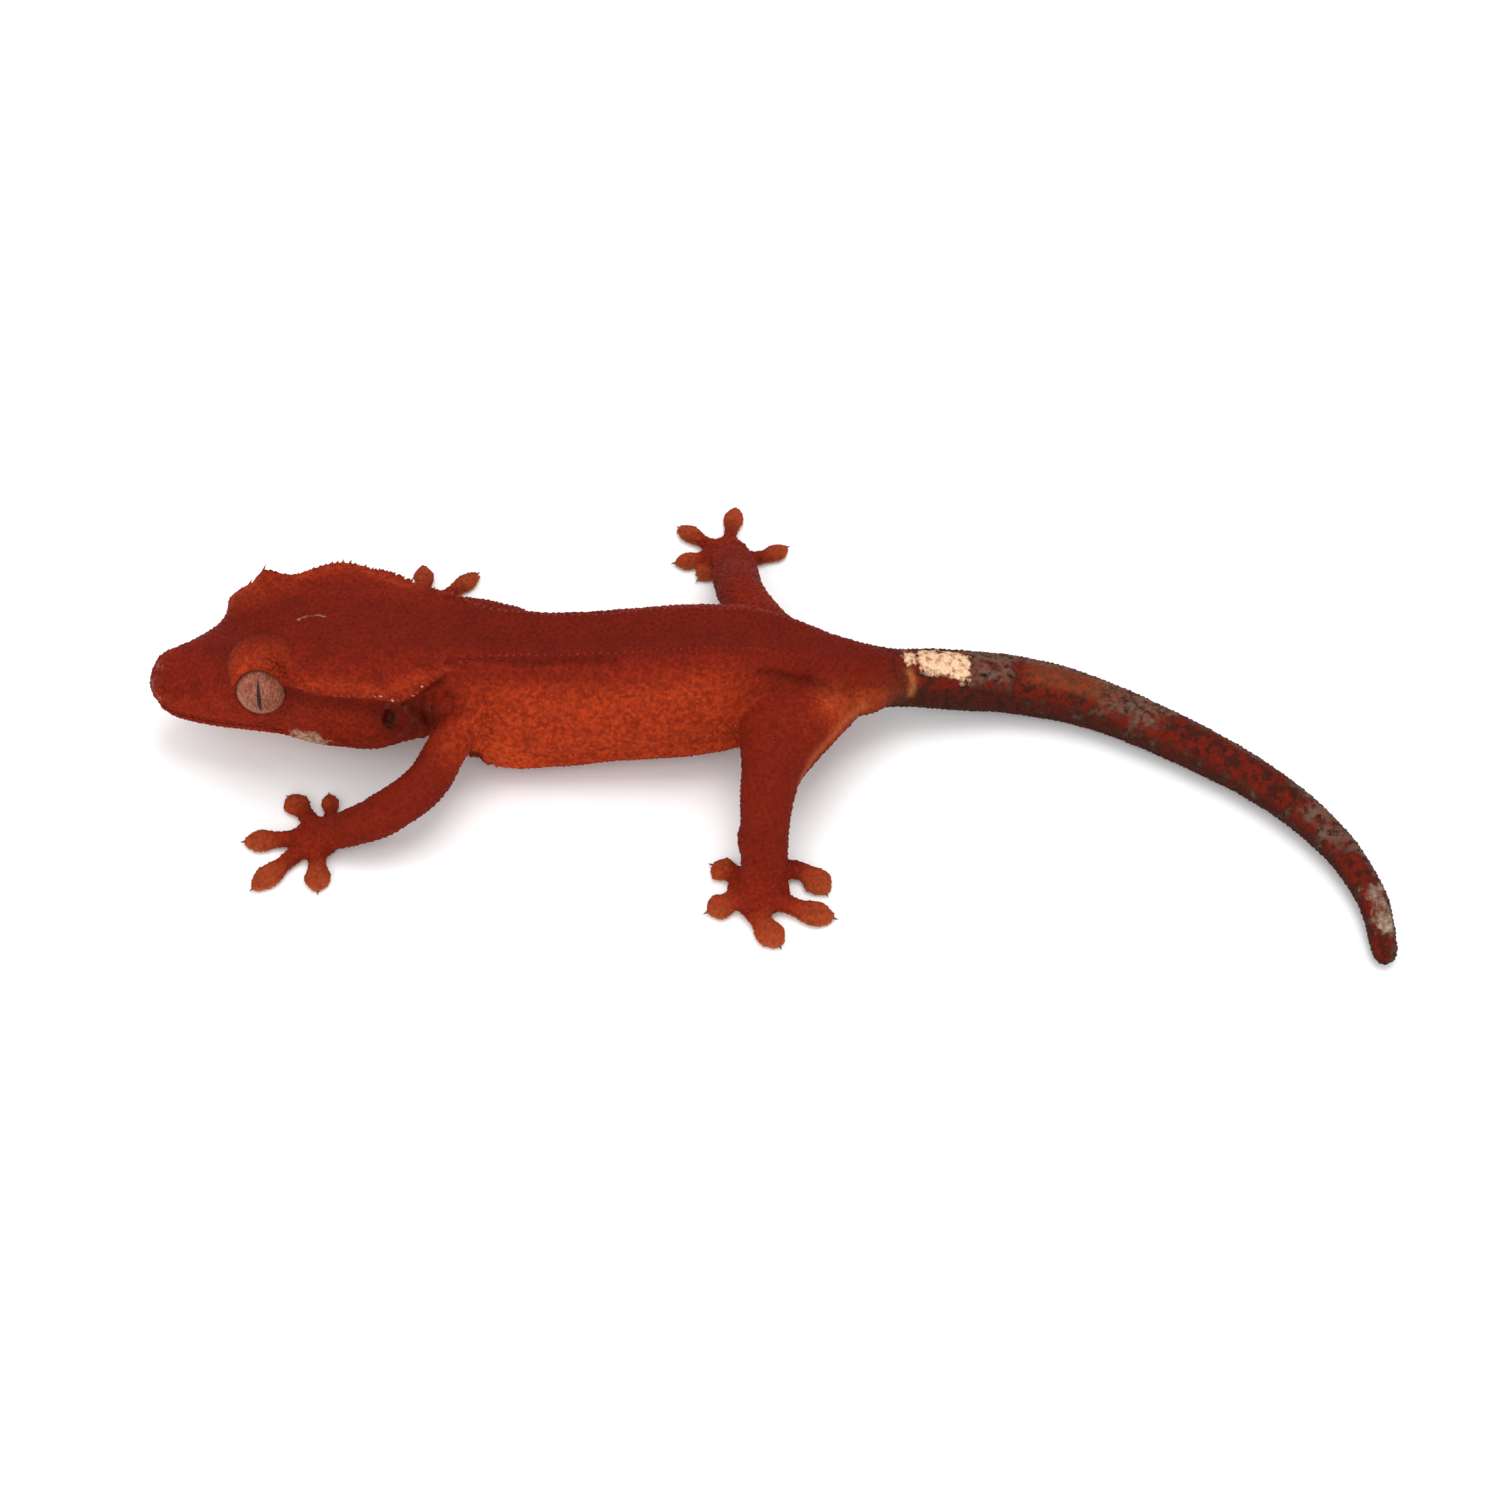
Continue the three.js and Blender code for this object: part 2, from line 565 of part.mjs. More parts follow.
// Finishes
const finish = (color, roughness) => new THREE.MeshStandardMaterial({ color, roughness, metalness: 0 });
const LOOKS = {
  head: finish(0x7c2318, 0.75),
  neck: finish(0x74261a, 0.78),
  torso: finish(0x8e2f1c, 0.78),
  tail_base: finish(0x7a3a2a, 0.72),
  tail_middle: finish(0x6c2c20, 0.72),
  tail_tip: finish(0x6a3a2c, 0.72),
  upper: finish(0x8a301c, 0.78),
  lower: finish(0x84291a, 0.78),
  sole: finish(0xa2502c, 0.75),
  eye: finish(0x9a6350, 0.2),
};
function lookOf(name) {
  if (LOOKS[name]) return LOOKS[name];
  if (/hand|foot/.test(name)) return LOOKS.sole;
  return /upper|thigh/.test(name) ? LOOKS.upper : LOOKS.lower;
}

// A mesh from a solid, its own origin at a point inside it
function meshOf(name, shape, centre) {
  const { vertProperties, triVerts } = shape.getMesh();
  const geometry = new THREE.BufferGeometry();
  geometry.setAttribute('position', new THREE.BufferAttribute(new Float32Array(vertProperties), 3));
  geometry.setIndex(new THREE.BufferAttribute(new Uint32Array(triVerts), 1));
  geometry.translate(-centre.x, -centre.y, -centre.z);
  geometry.computeVertexNormals();
  const mesh = new THREE.Mesh(geometry, lookOf(name));
  mesh.name = name;
  mesh.position.copy(centre);
  return mesh;
}

const gecko = new THREE.Group();
gecko.name = 'crested_gecko';
for (const [name, centre] of Object.entries(INNER)) {
  const probe = egg(centre.toArray(), [0.05, 0.05, 0.05], 6);
  const piece = scraps.find((s) => s.intersect(probe).volume() > 0);
  if (!piece) throw new Error(`no piece holds the inner point of ${name}`);
  gecko.add(meshOf(name, piece, centre));
}
for (const [side, flip] of [['left', -1], ['right', 1]]) {
  const ball = new THREE.SphereGeometry(EYE.radius, 16, 10);
  const eye = new THREE.Mesh(ball, LOOKS.eye);
  eye.name = `eye_${side}`;
  eye.position.copy(eyeFrame(flip).centre);
  gecko.add(eye);
}

export default gecko;
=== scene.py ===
"""A still, life-size crested gecko: its skin, granules, spines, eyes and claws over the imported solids.

The body's sections, limbs and toes are the solids' own sizes in millimetres, sampled finely.
"""
from __future__ import annotations

import json
import logging
import math
from collections.abc import Iterable, Sequence
from dataclasses import dataclass, field
from enum import Enum
from functools import partial
from itertools import product
from random import Random

import bmesh
import bpy
import numpy as np
from mathutils import Matrix, Quaternion, Vector, noise
from mathutils.bvhtree import BVHTree
from mathutils.kdtree import KDTree

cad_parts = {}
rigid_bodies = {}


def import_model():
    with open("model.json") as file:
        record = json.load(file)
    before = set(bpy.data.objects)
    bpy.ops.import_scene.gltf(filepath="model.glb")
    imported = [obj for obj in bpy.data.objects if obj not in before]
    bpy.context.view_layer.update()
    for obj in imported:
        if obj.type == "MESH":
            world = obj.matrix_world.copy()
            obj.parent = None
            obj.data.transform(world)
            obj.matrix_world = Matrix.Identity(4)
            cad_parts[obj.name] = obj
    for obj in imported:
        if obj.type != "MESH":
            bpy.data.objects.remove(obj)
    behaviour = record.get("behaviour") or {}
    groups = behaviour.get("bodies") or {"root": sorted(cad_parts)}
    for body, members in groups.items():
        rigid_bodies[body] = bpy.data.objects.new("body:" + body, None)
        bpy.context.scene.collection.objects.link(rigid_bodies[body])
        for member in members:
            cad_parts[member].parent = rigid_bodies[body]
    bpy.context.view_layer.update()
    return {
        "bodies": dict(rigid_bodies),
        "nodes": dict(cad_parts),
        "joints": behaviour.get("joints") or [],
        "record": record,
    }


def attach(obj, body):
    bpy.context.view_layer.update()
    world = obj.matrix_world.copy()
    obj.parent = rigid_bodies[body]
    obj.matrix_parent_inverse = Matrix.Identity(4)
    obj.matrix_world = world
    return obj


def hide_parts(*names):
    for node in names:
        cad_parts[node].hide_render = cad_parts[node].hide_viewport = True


log = logging.getLogger("gecko")
MM = 0.001
UP = Vector((0.0, 0.0, 1.0))
# Distance from the snout to the root of the tail, along the midline
TAIL_START = 90.3
# The seed of every random draw
SEED = 41


class Part(Enum):
    """The lengths of flesh that a point of the skin can belong to."""

    TRUNK = 0
    LIMB = 1
    TOE = 2


@dataclass(frozen=True)
class Station:
    """One cross section of head or body, in millimetres.

    y is the midline's offset, turn its yaw in degrees, top and base are heights on the midline,
    and crest, upper, wide and low are (half width, height) pairs.
    """

    x: float
    y: float
    turn: float
    top: float
    crest: tuple[float, float]
    upper: tuple[float, float]
    wide: tuple[float, float]
    low: tuple[float, float]
    base: float


BODY = (
    Station(-53.7, -0.7, 4, 12, (2, 11.6), (3.1, 10.6), (3.5, 9.1), (2.8, 7), 6.2),
    Station(-51.6, -0.6, 4, 12.3, (2.1, 11.9), (3.4, 10.8), (3.9, 9.1), (3.3, 6.7), 5.7),
    Station(-48.5, -0.45, 5, 13.2, (2.6, 12.8), (4.3, 11.4), (5.2, 9.2), (4.4, 6.3), 5),
    Station(-44.8, -0.25, 5, 15.1, (3.4, 14.7), (5.3, 13.1), (6.4, 9.9), (5.5, 6.4), 4.5),
    Station(-42.2, -0.1, 6, 17, (5.2, 17.5), (6, 15.5), (6.9, 10.6), (6.2, 6.7), 4.4),
    Station(-38.7, 0, 6, 18.9, (7, 20), (7, 17.4), (7.5, 11), (6.9, 6.8), 4.2),
    Station(-34.5, 0.1, 8, 18.5, (9.1, 17.1), (8.3, 15), (8.8, 10.3), (8, 6.1), 4),
    Station(-28.5, 0.2, 11, 18.1, (10.6, 17.6), (8.7, 14.4), (9.6, 9.2), (8.4, 5.2), 3.6),
    Station(-24.5, 0.3, 11, 17.9, (10.4, 16.5), (8.4, 13.6), (8.6, 9.4), (7.4, 5.3), 3.2),
    Station(-19.5, 0.3, 8, 17.7, (7.1, 16.7), (7, 13.4), (7.2, 9), (6, 4.6), 2.6),
    Station(-16, 0.2, 5, 17.3, (5.2, 17.2), (6.8, 13.4), (7.9, 8.3), (7.1, 2.8), 1.2),
    Station(-11, 0, 0, 16.6, (3.5, 17.1), (6.9, 12.6), (9.2, 7), (8.3, 2), -0.1),
    Station(-5, 0, 0, 16.2, (3.2, 16.7), (6.7, 12.6), (9.3, 6.6), (7.9, 1.8), -0.3),
    Station(3, 0, 0, 16.6, (3.2, 17.1), (6.9, 13.1), (9.2, 7.4), (7.5, 2.5), -0.2),
    Station(11, 0, 0, 17.5, (3.2, 17.9), (6.8, 14.2), (8.8, 8.5), (7.6, 3.3), 1.4),
    Station(18, 0, 0, 17.6, (3.1, 17.8), (6.2, 14.8), (7.5, 9.8), (6.7, 4.3), 3),
    Station(24, 0.2, 0, 15.9, (2.8, 15.9), (5, 13.2), (5.9, 9.4), (4.8, 5.2), 3.4),
    Station(30, 1, 0, 12.9, (2.2, 12.6), (3.7, 10.9), (4.2, 8.2), (3.3, 5), 3.6),
)
# The tail's centre and radius: x, y, height, radius
TAIL = (
    (36.5, 2.5, 6.2, 3.6),
    (43, 3.3, 4.9, 3.7),
    (49, 3.55, 4, 3.6),
    (55, 2.75, 3.4, 3.4),
    (61, 0.7, 3.1, 3.1),
    (66.8, -2.4, 2.9, 2.9),
    (72.5, -6, 2.8, 2.75),
    (78.3, -10.3, 2.7, 2.5),
    (83.8, -15.8, 2.6, 2.25),
    (88.5, -22.9, 2.4, 1.95),
    (90.7, -30, 2, 1.7),
    (91, -36.7, 1.45, 1.4),
)


@dataclass(frozen=True)
class LimbSizes:
    """A limb's joint centres and its (across, height) radii there, in millimetres."""

    path: tuple[tuple[float, float, float], ...]
    radii: tuple[tuple[float, float], ...]


@dataclass(frozen=True)
class ToeSizes:
    """A toe's tip, its root and how far it bows sideways, in millimetres, and how narrow it is."""

    tip: tuple[float, float]
    root: tuple[float, float] | None = None
    bend: float = 0.0
    slim: float = 1.0


@dataclass(frozen=True)
class FootSizes:
    """A hand or foot: its palm's centre and half spans, its toes' breadth and its toes."""

    palm: tuple[float, float]
    span: tuple[float, float]
    broad: float
    toes: tuple[ToeSizes, ...]


@dataclass(frozen=True)
class FoldSizes:
    """A rounded fold of flesh: its centre and half spans, in millimetres, and its yaw in degrees."""

    centre: tuple[float, float, float]
    span: tuple[float, float, float]
    turn: float


# The skin between the left thigh and the base of the tail
HIP_FOLD = FoldSizes((33.4, -1.9, 7.8), (4.8, 1.7, 2.2), 34.0)
LIMBS = {
    "arm_left": LimbSizes(
        ((-14.2, -4.5, 9), (-17.2, -10.3, 8.9), (-19.7, -15.6, 8),
         (-24.9, -18.4, 5.5), (-29.6, -18.6, 3.1), (-32.6, -18.4, 1.9)),
        ((3.6, 3.6), (2.45, 2.75), (2.65, 2.6), (2.65, 2.4), (2.4, 1.9), (2.1, 1.3)),
    ),
    "arm_right": LimbSizes(
        ((-13, 4.5, 8.2), (-11.2, 8.3, 7), (-10.4, 12.1, 4.5),
         (-14.2, 14.2, 3.9), (-18.8, 16.4, 3), (-22.2, 18, 1.9)),
        ((3.4, 3.4), (2.6, 2.7), (2.5, 2.6), (2.4, 2.4), (2.1, 1.8), (2, 1.3)),
    ),
    "leg_left": LimbSizes(
        ((24.4, -3, 8.8), (22.2, -10.2, 10.2), (20.6, -17, 10.3),
         (20, -21.2, 7.2), (19.9, -23.8, 3.6), (19.5, -25.4, 2)),
        ((7.6, 4.2), (5.5, 3.8), (3.4, 3.3), (2.9, 2.9), (2.75, 2.4), (2.4, 1.5)),
    ),
    "leg_right": LimbSizes(
        ((21.1, 3.5, 10.2), (18.7, 9.8, 9), (17.2, 15, 7.8),
         (16.7, 19.6, 5.6), (16.3, 24, 3.4), (15.4, 27, 2)),
        ((4.2, 4.2), (3.4, 3.4), (2.9, 3), (2.8, 2.7), (2.6, 2.3), (2.4, 1.5)),
    ),
}
FEET = {
    "hand_left": FootSizes((-33.0, -18.3), (3.0, 2.9), 1.0, (
        ToeSizes((-32.3, -11.0), (-31.6, -17.4), -0.2, 0.7),
        ToeSizes((-37.3, -11.4), (-33.2, -17.2), -0.3),
        ToeSizes((-42.0, -18.4)),
        ToeSizes((-40.2, -25.7)),
        ToeSizes((-32.2, -26.0)),
    )),
    "hand_right": FootSizes((-22.6, 18.3), (3.0, 2.7), 0.82, (
        ToeSizes((-26.4, 13.2)),
        ToeSizes((-29.6, 15.8)),
        ToeSizes((-29.6, 20.4)),
        ToeSizes((-23.8, 26.9)),
        ToeSizes((-16.4, 25.6)),
    )),
    "foot_left": FootSizes((19.3, -26.1), (3.8, 3.6), 1.12, (
        ToeSizes((13.7, -21.8), (18.6, -24.8)),
        ToeSizes((13.1, -28.9)),
        ToeSizes((21.9, -34.0), (17, -26.5)),
        ToeSizes((28.5, -29.8), None, -0.5),
        ToeSizes((27.4, -26.5), (20.4, -23.4), 1.9),
    )),
    "foot_right": FootSizes((15.2, 28.0), (3.2, 3.0), 0.85, (
        ToeSizes((11.6, 24.2)),
        ToeSizes((8.4, 27.2)),
        ToeSizes((8.8, 33.8)),
        ToeSizes((16.5, 37.4)),
        ToeSizes((23.3, 30.2), (16.4, 27.0), -0.6),
    )),
}
# Along a toe, from the palm to the claw: share of its reach, half width, and height
TOE = (
    (0.05, 1.3, 2.4),
    (0.3, 1.12, 1.95),
    (0.5, 1.05, 1.6),
    (0.64, 1.55, 1.4),
    (0.76, 1.75, 1.25),
    (0.88, 1.2, 1.1),
    (0.96, 0.6, 0.85),
)
# Heights of the mouth's line along the head, as (x, height)
MOUTH = ((-54.0, 8.2), (-50.0, 7.9), (-44.0, 8.1), (-38.0, 7.9), (-33.0, 7.2), (-29.5, 7.8))
# Ridge spines, as (x, height, root radius): they fade along the back
SPINES = (
    (-37.0, 0.25, 0.24),
    (-33.0, 0.34, 0.26),
    (-27.0, 0.5, 0.3),
    (-20.0, 0.46, 0.28),
    (-4.0, 0.36, 0.25),
    (16.0, 0.26, 0.22),
    (28.0, 0.12, 0.16),
)
# Lash spines along each brow, as (x, length)
LASHES = ((-42.3, 0.35), (-41.4, 0.6), (-40.5, 0.9), (-39.6, 0.75), (-38.7, 1.1), (-37.8, 0.5))


@dataclass(frozen=True)
class Stroke:
    """A line over the skin that presses in a fold or colours a streak, on one or both sides.

    points are (x, distance to the side, height) in millimetres, width is how far the line reaches, depth
    how far it presses in, and marks are strengths for the marks that it adds to.
    """

    points: tuple[tuple[float, float, float], ...]
    width: float
    depth: float = 0.0
    marks: tuple[tuple[str, float], ...] = ()
    sides: tuple[int, ...] = (-1, 1)


STROKES = (
    # The groove over the hip, and the edge of the thigh's muscle behind it, both with painted shade in them
    Stroke(((19.6, 5.2, 15.8), (22.4, 4.9, 14.5), (24.2, 4.7, 13.6), (27.2, 4.8, 12.6)),
           0.5, 0.38, (("crease_shade", 0.6),)),
    Stroke(((26.8, 5.9, 12.4), (30.2, 4.0, 10.5), (33.9, 3.4, 9.2), (37.0, 3.0, 8.3)),
           0.5, 0.2, (("crease_shade", 0.3),)),
    Stroke(((27.0, 7.0, 11.6), (30.6, 5.0, 8.8), (35.5, 3.7, 7.6)),
           1.9, 0.0, (("bright", 0.7), ("tan", 0.12))),
    # The fold under each ridge, from the neck over the shoulder, with painted shade in it and just below it
    Stroke(((-17.4, 5.0, 16.6), (-13.6, 4.1, 16.8), (-10.7, 4.0, 16.4), (-6.4, 3.8, 16.0),
            (-1.7, 3.7, 16.1), (2.4, 3.8, 16.3)),
           0.45, 0.3, (("crease_shade", 0.6),)),
    Stroke(((-14.2, 5.4, 15.6), (-8.7, 5.0, 15.2), (-4.1, 5.3, 14.8), (1.0, 5.4, 15.0)),
           0.9, 0.1, (("dark", 0.35),)),
    # The dark band behind the eye, deepened with painted shade under the crest, and the red edge and sharp
    # ridge of the crest over it
    Stroke(((-36.9, 8.5, 14.8), (-33.5, 8.4, 14.2), (-30.7, 8.7, 13.7), (-27.1, 8.7, 12.8)),
           1.4, 0.15, (("dark", 0.9),)),
    Stroke(((-35.2, 8.4, 17.4), (-29.8, 9.6, 17.7), (-26.0, 9.9, 17.3), (-21.5, 7.4, 17.2)),
           1.0, 0.0, (("bright", 0.4),)),
    Stroke(((-38.7, 7.0, 20.0), (-36.6, 8.0, 18.5), (-34.5, 9.1, 17.1), (-31.5, 9.9, 17.3),
            (-28.5, 10.6, 17.6), (-24.5, 10.4, 16.5), (-19.5, 7.1, 16.7), (-16.0, 5.2, 17.2)),
           0.55, -0.5, (("bright", 0.2),)),
    # Folds of the neck, and of the armpit, with painted shade in them
    Stroke(((-24.2, 8.3, 13.5), (-22.1, 7.6, 11.1), (-20.6, 7.2, 8.2)), 0.5, 0.28, (("crease_shade", 0.45),)),
    Stroke(((-18.3, 6.6, 15.0), (-17.3, 7.4, 12.4), (-17.0, 8.1, 9.8)), 0.5, 0.25, (("crease_shade", 0.3),)),
    Stroke(((-17.1, 8.6, 5.0), (-14.6, 8.9, 3.0)), 0.9, 0.3, (("crease_shade", 0.7),)),
    # The light ring round the root of the tail, the thin edge of the thigh, and the spur behind the hip
    Stroke(((37.5, 1.8, 9.1), (37.8, 2.8, 8.2), (37.4, 3.4, 7.0)), 0.45, 0.0, (("tan", 0.75),)),
    Stroke(((31.2, 6.7, 9.2), (28.9, 9.0, 10.2), (26.7, 12.3, 10.9), (24.9, 15.0, 11.0), (23.6, 17.6, 10.2)),
           0.6, 0.0, (("bright", 0.5), ("tan", 0.45)), (-1,)),
    Stroke(((31.7, 6.6, 8.2), (32.0, 6.5, 8.1)), 0.3, -0.3, (("cream", 1.0),), (-1,)),
    # The step round the top of each brow, with painted shade in it, and the painted shade under the crest's
    # teeth
    Stroke(((-44.8, 3.1, 14.9), (-43.0, 1.9, 16.9), (-40.2, 1.5, 18.3), (-36.5, 2.5, 18.8),
            (-35.3, 5.0, 18.5)),
           0.45, 0.07, (("crease_shade", 0.14),)),
    Stroke(((-31.0, 9.4, 16.0), (-28.0, 9.5, 15.8), (-24.5, 9.2, 15.2), (-21.5, 7.9, 15.4),
            (-19.0, 6.8, 15.8)),
           0.75, 0.12, (("dark", 0.8), ("crease_shade", 0.4))),
    # An old scratch on the crown
    Stroke(((-35.0, 0.6, 18.5), (-33.9, 1.2, 18.4), (-32.6, 1.5, 18.3), (-31.6, 1.3, 18.2)),
           0.16, 0.05, (("pale", 0.6),), (1,)),
)


@dataclass(frozen=True)
class Patch:
    """A soft oval of colour on the skin: its centre, its radii and the strengths that it adds to the marks.

    A paired patch has its centre as a stroke's point and lies on both sides. Any other has it as x, y, z.
    """

    centre: tuple[float, float, float]
    radii: tuple[float, float, float]
    marks: tuple[tuple[str, float], ...]
    paired: bool = True


PATCHES = (
    # The pale patch under the jaw, and painted shade in the hollow of the ear
    Patch((-35.4, 8.4, 7.6), (3.6, 2.2, 2.1), (("pale", 0.8),)),
    Patch((-26.1, 8.8, 11.0), (1.3, 1.5, 2.3), (("crease_shade", 0.8),)),
    # The rough dark skin behind the jaw, and painted shade on the side of the neck
    Patch((-23.9, 8.2, 10.8), (5.8, 3.2, 4.8), (("dark", 0.9), ("grey", 0.3))),
    Patch((-19.0, 7.2, 11.5), (4.5, 3.5, 5.0), (("dark", 0.22),)),
    # The orange of the near shoulder, flank and hip, and painted shade in the near armpit
    Patch((-15.5, -12.0, 9.5), (5.0, 5.5, 5.0), (("bright", 0.45),), False),
    Patch((-12.5, -9.0, 4.5), (6.0, 4.0, 4.5), (("bright", 0.7),), False),
    Patch((28.5, -7.0, 10.5), (6.0, 6.0, 4.5), (("bright", 0.4),), False),
    Patch((-14.8, -7.4, 3.0), (2.8, 2.2, 2.2), (("dark", 0.7),), False),
)


def along(places: Sequence[float], values: Sequence[float], at: float) -> float:
    """A smooth curve through values given at rising places, with no overshoot.

    Args:
        places: Where the values are given.
        values: One value for each place.
        at: Where to read the curve.

    Returns:
        The value there.
    """
    last = len(places) - 1
    if at <= places[0]:
        return values[0]
    if at >= places[last]:
        return values[last]
    i = 0
    while at > places[i + 1]:
        i += 1

    def rise(k: int) -> float:
        """Slope of one interval."""
        return (values[k + 1] - values[k]) / (places[k + 1] - places[k])

    def slope(k: int) -> float:
        """Slope of the curve at one place.

        Args:
            k: The place's number.

        Returns:
            The slope there.
        """
        if k in (0, last):
            return rise(0 if k == 0 else last - 1)
        before, after = rise(k - 1), rise(k)
        return 0.0 if before * after <= 0 else 2 * before * after / (before + after)

    h = places[i + 1] - places[i]
    t = (at - places[i]) / h
    start = values[i] * (1 + 2 * t) * (1 - t) ** 2 + slope(i) * h * t * (1 - t) ** 2
    end = values[i + 1] * t * t * (3 - 2 * t) + slope(i + 1) * h * t * t * (t - 1)
    return start + end


def spline(points: Sequence[Vector], at: float, closed: bool = False) -> Vector:
    """A centripetal Catmull-Rom curve through points.

    Args:
        points: What the curve runs through.
        at: Share of the way, from 0 to 1.
        closed: Whether the curve closes on itself.

    Returns:
        The point there.
    """
    n = len(points)
    place = (n if closed else n - 1) * at
    i = int(place)
    t = place - i
    if not closed and i >= n - 1:
        i, t = n - 2, 1.0
    if closed:
        p0, p1, p2, p3 = (points[(i + k) % n] for k in (-1, 0, 1, 2))
    else:
        p1, p2 = points[i], points[i + 1]
        p0 = points[i - 1] if i > 0 else p1 * 2 - p2
        p3 = points[i + 2] if i + 2 < n else p2 * 2 - p1
    d0, d1, d2 = (max(math.sqrt((b - a).length), 1e-4) for a, b in ((p0, p1), (p1, p2), (p2, p3)))
    m1 = ((p1 - p0) / d0 - (p2 - p0) / (d0 + d1) + (p2 - p1) / d1) * d1
    m2 = ((p2 - p1) / d1 - (p3 - p1) / (d1 + d2) + (p3 - p2) / d2) * d1
    c2 = -3 * p1 + 3 * p2 - 2 * m1 - m2
    c3 = 2 * p1 - 2 * p2 + m1 + m2
    return p1 + m1 * t + c2 * t * t + c3 * t ** 3


def loft(rings: Sequence[Sequence[Vector]]) -> bmesh.types.BMesh:
    """Bridges closed rings of points into a tube with closed ends.

    Args:
        rings: Rings with the same number of points.

    Returns:
        A mesh of its own, which the caller frees.
    """
    bm = bmesh.new()
    before: list = []
    ends = []
    for ring in rings:
        verts = bmesh.ops.create_circle(bm, segments=len(ring), radius=1.0)["verts"]
        for vert, point in zip(verts, ring):
            vert.co = point
        edges = list({edge for vert in verts for edge in vert.link_edges if len(edge.link_faces) == 0})
        if before:
            bmesh.ops.bridge_loops(bm, edges=before + edges)
        before = edges
        ends.append(verts)
    for verts in (ends[0], ends[-1]):
        bm.faces.new(verts)
    bmesh.ops.triangulate(bm, faces=[f for f in bm.faces if len(f.verts) > 4])
    bmesh.ops.recalc_face_normals(bm, faces=bm.faces)
    return bm


def absorb(target: bmesh.types.BMesh, source: bmesh.types.BMesh) -> None:
    """Adds a mesh to another one and frees it.

    Args:
        target: The mesh that grows.
        source: The mesh that is added.
    """
    carrier = bpy.data.meshes.new("carrier")
    source.to_mesh(carrier)
    source.free()
    target.from_mesh(carrier)
    bpy.data.meshes.remove(carrier)


def smooth_step(low: float, high: float, value: np.ndarray | float) -> np.ndarray | float:
    """A soft step from 0 at low to 1 at high."""
    t = np.clip((value - low) / (high - low), 0.0, 1.0)
    return t * t * (3 - 2 * t)


def band(low: float, high: float, soft: float, value: np.ndarray | float) -> np.ndarray | float:
    """1 between low and high, fading out over a soft margin outside them."""
    return smooth_step(low - soft, low, value) * (1 - smooth_step(high, high + soft, value))


def blob(points: np.ndarray, centre: Sequence[float], radii: Sequence[float]) -> np.ndarray:
    """1 at a centre, falling to 0 at an ellipsoid round it."""
    reach = np.linalg.norm((points - np.array(centre)) / np.array(radii), axis=1)
    return 1 - smooth_step(0.35, 1.0, reach)


def ridge(value: float, middle: float, width: float) -> float:
    """1 on a line, falling off smoothly over a width on both sides of it."""
    return math.exp(-((value - middle) / width) ** 2)


def soften(bm: bmesh.types.BMesh, verts: Sequence[bmesh.types.BMVert], passes: int) -> None:
    """Evens out some of a mesh's points in passes of half strength."""
    for _ in range(passes):
        bmesh.ops.smooth_vert(bm, verts=verts, factor=0.5, use_axis_x=True, use_axis_y=True, use_axis_z=True)


